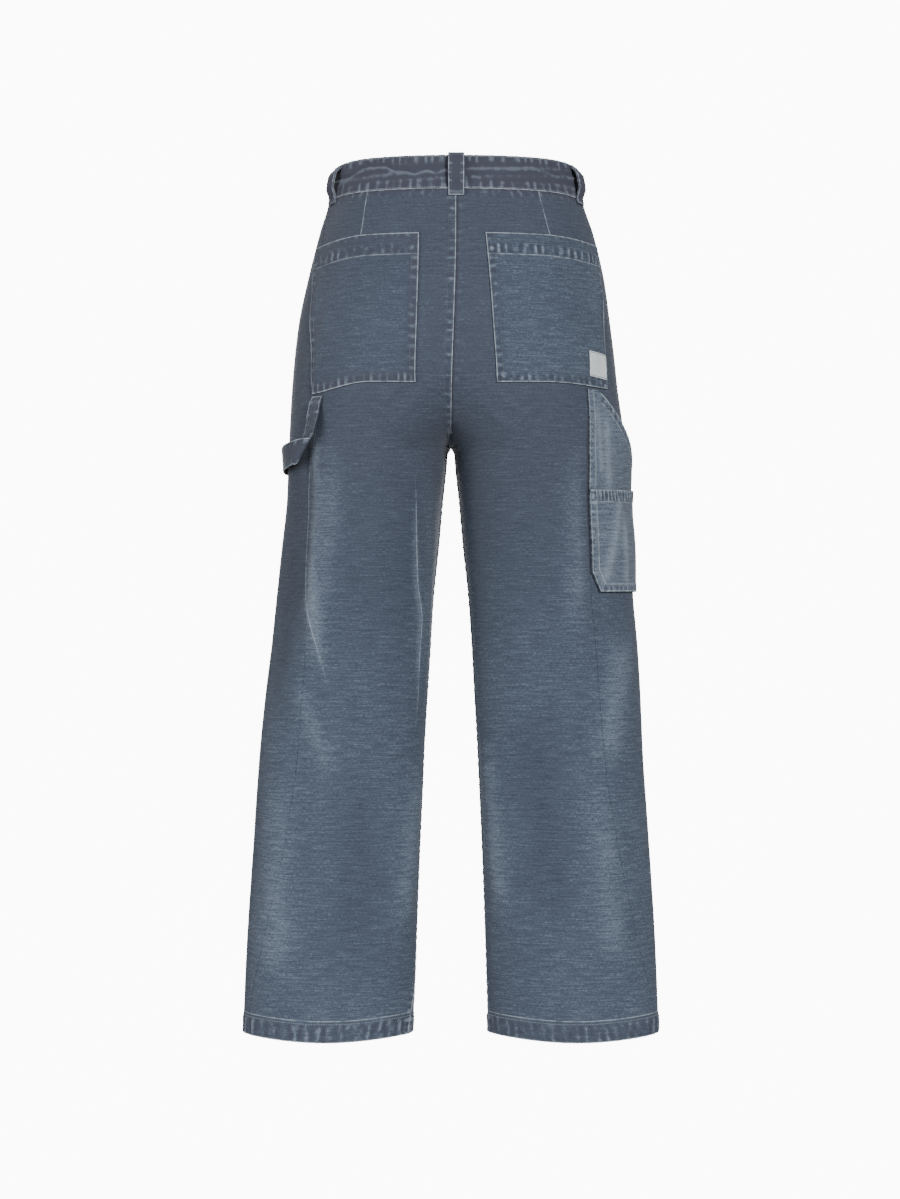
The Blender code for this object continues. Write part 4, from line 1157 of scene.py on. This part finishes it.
def sewn_down(end):
    """The two edges of the strap where it lies on the leg."""
    behind = np.array([end.rear_behind, end.front_behind]) * MM
    height = np.array([end.rear_height, end.front_height]) * MM
    lift = CAD_SEAM_GAP + STRAP_WALL
    return layered(LEFT, behind, height, lift, lift)[0].reshape(1, 6)


def hammer_loop(material):
    """The strap, folded over at the rear, with stitching along both edges."""
    between = np.array(STATIONS) * MM
    rows = np.concatenate([sewn_down(STRAP_START), between, sewn_down(STRAP_FINISH)])
    steps = np.linspace(0, len(rows) - 1, 220)
    knots = np.arange(len(rows))
    edges = np.stack([smooth_through(steps, knots, column) for column in rows.T], axis=1)
    rear, front = edges[:, None, :3], edges[:, None, 3:]
    wide = np.linalg.norm(front - rear, axis=2)
    across = stops(STRAP_WIDTH, 1.8 * MM)[None, :] / STRAP_WIDTH
    middle = rear + (front - rear) * across[:, :, None]
    run = walked_along(middle[:, middle.shape[1] // 2])
    facing = np.cross(np.broadcast_to(front - rear, middle.shape), np.gradient(middle, axis=0))
    facing /= np.linalg.norm(facing, axis=2)[:, :, None]
    along = run[:, None] * np.ones(middle.shape[:2])
    apart = across * wide
    edge = least(apart, wide - apart, along, run[-1] - along)
    wave = ripple(along, apart, 9, 121)
    window = near(edge, 1, 12)
    rise = rolled(edge, 0.7) + 0.5 * MM * wave * window
    rise = rise - sunk(edge, STRAP_ROWS[0], 0.25, 1.0) - sunk(edge, STRAP_ROWS[1], 0.25, 1.0)
    outer = middle + facing * rise[..., None]
    inner = middle - facing * (STRAP_WALL + 0.3 * rise)[..., None]
    looks = looks_of(edge, np.clip(wave * window, -1, 1), window, 0.02, 0.0, 1.0)
    made = sheet_of("hammer_loop_strap", outer, inner, apart, along, looks, material, lining=0.0)
    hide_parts("hammer_loop")
    every = np.arange(len(edges))
    both, face = [(outer, facing), (inner, -facing)], [(outer, facing)]
    for inset, shown in zip(STRAP_ROWS, (both, face)):
        share = inset * MM / wide[:, 0]
        for at in (share, 1 - share):
            place = np.interp(at, across[0], np.arange(across.size))
            low = place.astype(int)
            part = (place - low)[:, None]
            for grid, outward in shown:
                line = grid[every, low] * (1 - part) + grid[every, low + 1] * part
                sew("strap", line[3:-3], outward[every, low][3:-3])
    return made


# %% [markdown]
# The woven label at the right pocket's lower corner stays bare. It is a tape with folded ends, sewn
# down at its top and bottom, a little loose between.

# %% Label
LABEL_INNER, LABEL_OUTER, LABEL_WALL = 162 * MM, 193 * MM, 0.9 * MM
LABEL_TOP, LABEL_BOTTOM, LABEL_TILT = -202 * MM, -231 * MM, 3 * MM


def label(material):
    """The label, laid on the right back pocket."""
    wide, tall = LABEL_OUTER - LABEL_INNER, LABEL_TOP - LABEL_BOTTOM
    across, down = stops(wide, 2 * MM)[None, :], stops(tall, 2 * MM)[:, None]
    across, down = np.broadcast_arrays(across, down)
    height = LABEL_TOP - down - LABEL_TILT * across / wide
    behind = girth_of(RIGHT, height, "back") - LABEL_INNER - across
    edge = least(across, wide - across, down, tall - down)
    puff = 0.7 * MM * np.sin(math.pi * down / tall) * (0.6 + 0.4 * np.sin(across * 260))
    base = 2 * LAYER + POCKET_WALL + 0.75 * MM
    face = base + puff + LABEL_WALL + rolled(edge, 0.5)
    outer, inner, _, _ = layered(RIGHT, behind, height, face, base)
    made = sheet_of("label_tape", outer, inner, across, -down, looks_of(edge, 0.0, 0.3), material)
    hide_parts("label")
    for away in (1.6 * MM, tall - 1.6 * MM):
        across = np.linspace(1.5 * MM, wide - 1.5 * MM, 30)
        low = LABEL_TOP - away - LABEL_TILT * across / wide
        behind = girth_of(RIGHT, low, "back") - LABEL_INNER - across
        sew_on("label", RIGHT, behind, low, base + LABEL_WALL + 0.1 * MM)
    return made


# %% [markdown]
# Shader maths is written as plain sums and products. A small class wraps a node's socket, so that
# expressions on it add the Math nodes, and one method makes every other kind of node.

# %% Shader maths
class Wire:
    """A number that flows through a material's nodes."""

    def __init__(self, socket):
        self.socket = socket

    def joined(self, operation, *others, swap=False):
        """A Math node on this value and the others."""
        tree = self.socket.id_data
        made = tree.nodes.new("ShaderNodeMath")
        made.operation = operation
        values = [self, *others]
        for place, value in zip(made.inputs, reversed(values) if swap else values):
            if isinstance(value, Wire):
                tree.links.new(value.socket, place)
            else:
                place.default_value = value
        return Wire(made.outputs[0])

    def __add__(self, other):
        return self.joined("ADD", other)

    __radd__ = __add__

    def __sub__(self, other):
        return self.joined("SUBTRACT", other)

    def __rsub__(self, other):
        return self.joined("SUBTRACT", other, swap=True)

    def __mul__(self, other):
        return self.joined("MULTIPLY", other)

    __rmul__ = __mul__

    def __abs__(self):
        return self.joined("ABSOLUTE")


class Finish:
    """A material under construction."""

    def __init__(self, name):
        self.material = bpy.data.materials.new(name)
        self.material.use_nodes = True
        self.tree = self.material.node_tree
        self.shader = self.tree.nodes["Principled BSDF"]

    def node(self, kind, settings=None, inputs=None, output=0):
        """A node of this type, with its settings first and then the values or links of its sockets."""
        made = self.tree.nodes.new("ShaderNode" + kind)
        for title, value in (settings or {}).items():
            setattr(made, title, value)
        for title, value in (inputs or {}).items():
            if isinstance(value, Wire):
                self.tree.links.new(value.socket, made.inputs[title])
            else:
                made.inputs[title].default_value = value
        return Wire(made.outputs[output])

    def feed(self, title, value):
        """Links a value to the shader, or sets it there."""
        if isinstance(value, Wire):
            self.tree.links.new(value.socket, self.shader.inputs[title])
        else:
            self.shader.inputs[title].default_value = value

    def attribute(self, title):
        """A number kept at the mesh's points."""
        return self.node("Attribute", {"attribute_name": title}, output=2)

    def stretched(self, vector, scale):
        """The vector with each of its parts scaled."""
        return self.node("VectorMath", {"operation": "MULTIPLY"}, {0: vector, 1: scale})

    def noise(self, vector, scale, detail=2.0, roughness=0.5):
        """Smooth noise from 0 to 1 at this scale."""
        sockets = {"Vector": vector, "Scale": scale, "Detail": detail, "Roughness": roughness}
        return self.node("TexNoise", {"noise_dimensions": "3D"}, sockets)

    def between(self, value, low, high, first=0.0, last=1.0):
        """A smooth change from first to last as the value goes from low to high."""
        sockets = {"Value": value, "From Min": low, "From Max": high, "To Min": first, "To Max": last}
        return self.node("MapRange", {"interpolation_type": "SMOOTHSTEP"}, sockets)

    def mixed(self, share, first, second):
        """One colour fading into another."""
        return self.node("Mix", {"data_type": "RGBA"}, {0: share, 6: first, 7: second}, output=2)

    def ramp(self, share, *shades):
        """A colour that runs through these shades, each given with its place."""
        made = self.node("ValToRGB", None, {0: share})
        elements = made.socket.node.color_ramp.elements
        while len(elements) < len(shades):
            elements.new(0.5)
        for element, (place, colour) in zip(elements, shades):
            element.position, element.color = place, (*colour, 1)
        return made

    def bump(self, height, strength, distance):
        """Presses a relief into the shader's normal."""
        sockets = {"Height": height, "Strength": strength, "Distance": distance}
        self.feed("Normal", self.node("Bump", None, sockets))


# %% [markdown]
# The canvas is dyed blue-grey and washed until its ridges are pale. Long horizontal ribs and slubs from
# the weft are its strongest marks, so noise is stretched along the threads. Wear follows the attributes:
# pale on edges and pucker ridges, darker and a little purple in the grooves of the seams. Painted light
# and shade follow them too: a painted shadow on every edge and beside raised edges, painted light on
# fold ridges and painted shade in fold hollows.

# %% Washed canvas
CLOTH_DARK = (0.022, 0.029, 0.045)
CLOTH_MID = (0.066, 0.086, 0.122)
CLOTH_PALE = (0.240, 0.292, 0.355)
CLOTH_PURPLE = (0.058, 0.060, 0.086)
EDGE_PALE = (0.45, 0.515, 0.58)


def washed_canvas():
    """The woven finish of all the cloth."""
    made = Finish("washed_canvas_woven")
    cloth = made.node("UVMap", {"uv_map": "Cloth"})
    place = made.node("TexCoord", output=3)
    edge, line = made.attribute("edge"), made.attribute("line")
    ridge, pucker = made.attribute("ridge"), made.attribute("pucker")
    high, dye_and_shadow = made.attribute("high"), made.attribute("dye_and_shadow")
    slub = made.noise(made.stretched(cloth, (60, 700, 1)), 1.0, 1.0, 0.6)
    weft = made.noise(made.stretched(cloth, (260, 1000, 1)), 1.0, 1.0, 0.6)
    warp = made.noise(made.stretched(cloth, (1500, 220, 1)), 1.0, 2.0)
    cloud = made.noise(place, 7.0, 3.0)
    mottle = made.noise(place, 42.0, 3.0, 0.6)
    speckle = made.noise(place, 150.0, 2.0, 0.6)
    streak = made.between(slub, 0.36, 0.64, -1.0, 1.0)
    rib = made.noise(made.stretched(cloth, (30, 430, 1)), 1.0, 0.0) - 0.5
    threads = (weft - 0.5) + (warp - 0.5)
    broken = ridge + 1.8 * (speckle - 0.5)
    groove = made.between(broken, -0.9, 0.1, 1.0, 0.0) * pucker
    crest = made.between(broken, 0.0, 0.95) * pucker
    # A painted shadow darkens the outermost millimetre of every piece, on its rolled rim.
    painted_contact_shadow = made.between(edge, 0.15, 0.8, 1.0, 0.0)
    worn_edge = made.between(edge, 0.4, 0.9) * made.between(edge, 1.0, 1.6, 1.0, 0.0)
    worn_edge = worn_edge * made.between(speckle, 0.3, 0.6, 0.35, 1.0)
    worn_line = made.between(abs(line), 0.2, 0.9, 1.0, 0.0) * made.between(speckle, 0.3, 0.6, 0.2, 0.8)
    tone = 0.42 + 0.06 * streak + 0.24 * rib + 0.55 * threads + 0.2 * (cloud - 0.5) + 0.08 * (mottle - 0.5)
    # Painted light and shade join the tone: fold ridges lighter, fold hollows darker, painted shadow lines
    # beside raised edges and on every piece's own edge.
    tone = tone + 0.10 * high + 0.42 * crest - 0.34 * groove - 0.10 * dye_and_shadow - 0.6 * painted_contact_shadow
    colour = made.ramp(tone, (0.0, CLOTH_DARK), (0.45, CLOTH_MID), (1.0, CLOTH_PALE))
    # The seams' darker dye and the painted shadow lines both lean purple.
    purple = made.between(groove * 0.6 + dye_and_shadow * 0.55, 0.0, 1.0, 0.0, 0.8)
    colour = made.mixed(purple, colour, (*CLOTH_PURPLE, 1))
    colour = made.mixed(0.35 * crest, colour, (*CLOTH_PALE, 1))
    colour = made.mixed((worn_edge + 0.6 * worn_line).joined("MINIMUM", 0.85), colour, (*EDGE_PALE, 1))
    made.feed("Base Color", colour)
    made.feed("Roughness", made.between(tone, 0.0, 1.0, 0.84, 0.95))
    made.bump(0.5 * weft + 0.5 * warp + 0.5 * slub + 0.6 * mottle, 0.55, 0.6 * MM)
    made.feed("Sheen Weight", 0.12)
    made.feed("Sheen Roughness", 0.5)
    made.feed("Specular IOR Level", 0.25)
    return made.material


# %% [markdown]
# Thread, tape and metal are smaller finishes. The thread took the same dye a shade paler, the tape is a
# close off-white weave, and the button is dull antique metal with a little tarnish.

# %% Thread, tape and metal
def dyed_thread(name, dark, pale):
    """Topstitching thread between two shades."""
    made = Finish(name)
    place = made.node("TexCoord", output=3)
    shade = made.noise(place, 60.0, 2.0)
    made.feed("Base Color", made.mixed(shade, (*dark, 1), (*pale, 1)))
    made.feed("Roughness", 0.8)
    return made.material


def woven_tape():
    """The bare label."""
    made = Finish("woven_label_tape")
    cloth = made.node("UVMap", {"uv_map": "Cloth"})
    edge = made.attribute("edge")
    rib = made.noise(made.stretched(cloth, (300, 2200, 1)), 1.0, 2.0)
    soil = made.noise(made.node("TexCoord", output=3), 90.0, 3.0)
    tone = 0.6 * rib + 0.6 * soil
    colour = made.ramp(tone, (0.3, (0.52, 0.57, 0.60)), (0.75, (0.76, 0.80, 0.83)))
    rim = made.between(edge, 0.1, 0.9, 0.35, 0.0)
    made.feed("Base Color", made.mixed(rim, colour, (0.40, 0.46, 0.50, 1)))
    made.feed("Roughness", 0.75)
    made.bump(rib, 0.4, 0.4 * MM)
    return made.material


def antique_metal():
    """The button."""
    made = Finish("antique_button_metal")
    place = made.node("TexCoord", output=3)
    tarnish = made.noise(place, 700.0, 4.0, 0.6)
    scuff = made.noise(made.stretched(place, (1, 1, 4)), 1500.0, 2.0)
    made.feed("Base Color", made.ramp(tarnish, (0.35, (0.10, 0.09, 0.08)), (0.7, (0.32, 0.30, 0.27))))
    made.feed("Metallic", 1.0)
    made.feed("Roughness", made.between(scuff, 0.3, 0.7, 0.32, 0.55))
    made.bump(tarnish, 0.25, 0.2 * MM)
    return made.material


canvas_finish = washed_canvas()
thread_finish = dyed_thread("dyed_thread", (0.075, 0.095, 0.130), (0.165, 0.200, 0.245))
pale_thread = dyed_thread("pale_thread", (0.18, 0.22, 0.26), (0.36, 0.41, 0.45))
tape_finish = woven_tape()
metal_finish = antique_metal()

# %% [markdown]
# Now the pieces are cut and laid: first the panels, then all that is sewn on them. Every sheet stands
# for its solid in the frame and rides on the part's one body.

# %% Make the cloth
for side in (LEFT, RIGHT):
    for face in ("back", "front"):
        panel(side, face, canvas_finish)
waistband(canvas_finish)
belt_loop("belt_loop_back", LEFT, 1.0, 22.5 * MM, 51 * MM, 5.5 * MM, canvas_finish)
for side in (LEFT, RIGHT):
    belt_loop(f"belt_loop_side_{SIDE_NAMES[side]}", side, 0.18, 17 * MM, 43 * MM, 6 * MM, canvas_finish)
    belt_loop(f"belt_loop_front_{SIDE_NAMES[side]}", side, -0.68, 21 * MM, 50 * MM, 6.6 * MM, canvas_finish)
fly(canvas_finish)
for pocket in POCKETS:
    back_pocket(pocket, canvas_finish)
tool_pocket("tool_pocket_upper", False, canvas_finish)
tool_pocket("tool_pocket_lower", True, canvas_finish)
hammer_loop(canvas_finish)
label(tape_finish)

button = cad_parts["button"]
button.data.materials.clear()
button.data.materials.append(metal_finish)

# %% [markdown]
# The panels' own seams are topstitched too: the centre seam and the inseams beside their felled edge,
# and the hem round each leg.

# %% Sew the panels
for side in (LEFT, RIGHT):
    down = np.linspace(-0.024, CROTCH_LEVEL + 0.004, 130)
    low = np.linspace(CROTCH_LEVEL - 0.004, HEM_LEVEL + 0.004, 300)
    for inset in (1.9, 8.0):
        if side == LEFT:
            sew_on("seams", side, girth_of(side, down, "back") - inset * MM, down)
        sew_on("seams", side, girth_of(side, low, "back") - inseam_swing(side, low) - inset * MM, low)
    if side == LEFT:
        front = np.linspace(-0.21, CROTCH_LEVEL + 0.004, 50)
        sew_on("seams", side, -girth_of(side, front, "front") + 1.9 * MM, front)
    around = np.linspace(-1, 1, 260)
    level = HEM_LEVEL + HEM_HEIGHT - 1 * MM
    height = level + hem_drop(around, np.full(260, level))
    sew_on("hems", side, around * girth_toward(side, around, height), height)
print({group: len(lines) for group, lines in SEWN.items()})

# %% [markdown]
# Geometry Nodes turns the kept lines into thread. A line becomes a curve, points are set along it one
# stitch apart, and a small capsule is laid on each, turned along the line and flat on the cloth. The
# result is realised into a plain mesh, because the export keeps no instances.

# %% Stitch tree
def stitch_tree(material):
    """A node tree that lays stitches along the edges of a mesh."""
    tree = bpy.data.node_groups.new("stitches", "GeometryNodeTree")
    tree.interface.new_socket("Geometry", in_out="INPUT", socket_type="NodeSocketGeometry")
    for title, value in (("Pitch", 2.9 * MM), ("Length", 2.3 * MM), ("Thickness", 0.75 * MM)):
        tree.interface.new_socket(title, in_out="INPUT", socket_type="NodeSocketFloat").default_value = value
    tree.interface.new_socket("Geometry", in_out="OUTPUT", socket_type="NodeSocketGeometry")

    def node(kind, settings=None, inputs=None):
        made = tree.nodes.new(kind)
        for title, value in (settings or {}).items():
            setattr(made, title, value)
        for title, value in (inputs or {}).items():
            if isinstance(value, bpy.types.NodeSocket):
                tree.links.new(value, made.inputs[title])
            else:
                made.inputs[title].default_value = value
        return made.outputs[0]

    given = tree.nodes.new("NodeGroupInput").outputs
    thick, align = given["Thickness"], "FunctionNodeAlignRotationToVector"
    curve = node("GeometryNodeMeshToCurve", None, {"Mesh": given["Geometry"]})
    spacing = {"Curve": curve, "Length": given["Pitch"]}
    spaced = node("GeometryNodeResampleCurve", {"mode": "LENGTH"}, spacing)
    capsule = node("GeometryNodeMeshUVSphere", None, {"Segments": 5, "Rings": 4, "Radius": 0.5})
    tangent = node("GeometryNodeInputTangent")
    facing = node("GeometryNodeInputNamedAttribute", {"data_type": "FLOAT_VECTOR"}, {"Name": "facing"})
    upright = node(align, {"axis": "Z"}, {"Vector": tangent})
    turned = node(align, {"axis": "X", "pivot_axis": "Z"}, {"Rotation": upright, "Vector": facing})
    size = node("ShaderNodeCombineXYZ", None, {"X": thick, "Y": thick, "Z": given["Length"]})
    laying = {"Points": spaced, "Instance": capsule, "Rotation": turned, "Scale": size}
    laid = node("GeometryNodeInstanceOnPoints", None, laying)
    plain = node("GeometryNodeRealizeInstances", None, {"Geometry": laid})
    done = node("GeometryNodeSetMaterial", None, {"Geometry": plain, "Material": material})
    tree.links.new(done, tree.nodes.new("NodeGroupOutput").inputs[0])
    return tree


def stitched(group, tree, pitch=None, length=None):
    """One plain mesh of all the stitches in a group of lines."""
    points, facing, edges = [], [], []
    for line, normal in SEWN[group]:
        edges += [(len(points) + number, len(points) + number + 1) for number in range(len(line) - 1)]
        points += (line + normal * 0.12 * MM).tolist()
        facing += normal.tolist()
    lines = bpy.data.meshes.new(group + "_lines")
    lines.from_pydata(points, edges, [])
    kept = lines.attributes.new("facing", "FLOAT_VECTOR", "POINT")
    kept.data.foreach_set("vector", np.array(facing, dtype=np.float32).ravel())
    guide = placed(group + "_guide", lines)
    layer = guide.modifiers.new("stitches", "NODES")
    layer.node_group = tree
    for title, value in (("Pitch", pitch), ("Length", length)):
        if value:
            layer[tree.interface.items_tree[title].identifier] = value
    depsgraph = bpy.context.evaluated_depsgraph_get()
    mesh = bpy.data.meshes.new_from_object(guide.evaluated_get(depsgraph), depsgraph=depsgraph)
    bpy.data.objects.remove(guide)
    mesh.shade_smooth()
    made = placed(f"stitches_{group}", mesh)
    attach(made, "root")
    print(made.name, len(mesh.polygons), "faces")
    return made


thread_tree, pale_tree = stitch_tree(thread_finish), stitch_tree(pale_thread)
for group in SEWN:
    if group == "tacks":
        made = stitched(group, thread_tree, 1.5 * MM, 1.4 * MM)
    elif group == "label":
        made = stitched(group, thread_tree, 1.6 * MM, 1.3 * MM)
    else:
        made = stitched(group, pale_tree if group in ("tools", "hems", "waist") else thread_tree)

# %% [markdown]

# %% [markdown]
# The stage is a lit white wall, so far behind that it takes no shadow. A soft sun over the camera's
# shoulder is the key, which brings out the puckers. Two large lamps and a dim surround fill the shade.

# %% Stage and light
def backdrop():
    """A lit white wall, rather larger than the picture."""
    points = [(x, -4.2, z) for x, z in ((-1.7, -2.6), (1.7, -2.6), (1.7, 1.6), (-1.7, 1.6))]
    mesh = bpy.data.meshes.new("backdrop")
    mesh.from_pydata(points, [], [(0, 1, 2, 3)])
    made = placed("backdrop", mesh)
    finish = Finish("lit_backdrop")
    finish.feed("Base Color", (0.93, 0.93, 0.93, 1))
    finish.feed("Roughness", 0.9)
    finish.feed("Emission Color", (1, 1, 1, 1))
    finish.feed("Emission Strength", 10.0)
    mesh.materials.append(finish.material)


def lamp(name, place, aim, size, power):
    """A square soft lamp that looks at a point."""
    light = bpy.data.lights.new(name, "AREA")
    light.size, light.energy = size, power
    made = placed(name, light)
    made.location = place
    made.rotation_euler = (Vector(aim) - Vector(place)).to_track_quat("-Z", "Y").to_euler()


backdrop()
middle = (0, 0, -0.48)
sun = bpy.data.lights.new("key", "SUN")
sun.energy, sun.angle = 3.0, 0.2
key = placed("key", sun)
key.rotation_euler = Vector((0.42, -0.87, -0.26)).to_track_quat("-Z", "Y").to_euler()
lamp("fill", (2.6, 2.0, -0.5), middle, 2.0, 62)
lamp("front_key", (2.0, -2.2, 0.8), middle, 2.0, 20)
world = bpy.data.worlds.new("studio")
world.use_nodes = True
world.node_tree.nodes["Background"].inputs["Color"].default_value = (1, 1, 1, 1)
world.node_tree.nodes["Background"].inputs["Strength"].default_value = 0.22
bpy.context.scene.world = world

# %% [markdown]
# The camera looks straight at the back from 3.2 m, with a short telephoto. Its height and lens were
# found by matching the outline and the crotch.

# %% Camera
camera_data = bpy.data.cameras.new("photo")
camera_data.lens = 82.5
camera_data.sensor_width = 36
camera = placed("photo", camera_data)
camera.location = (0.007, 3.2, -0.4825)
camera.rotation_euler = (math.pi / 2, 0, math.pi)
bpy.context.scene.camera = camera
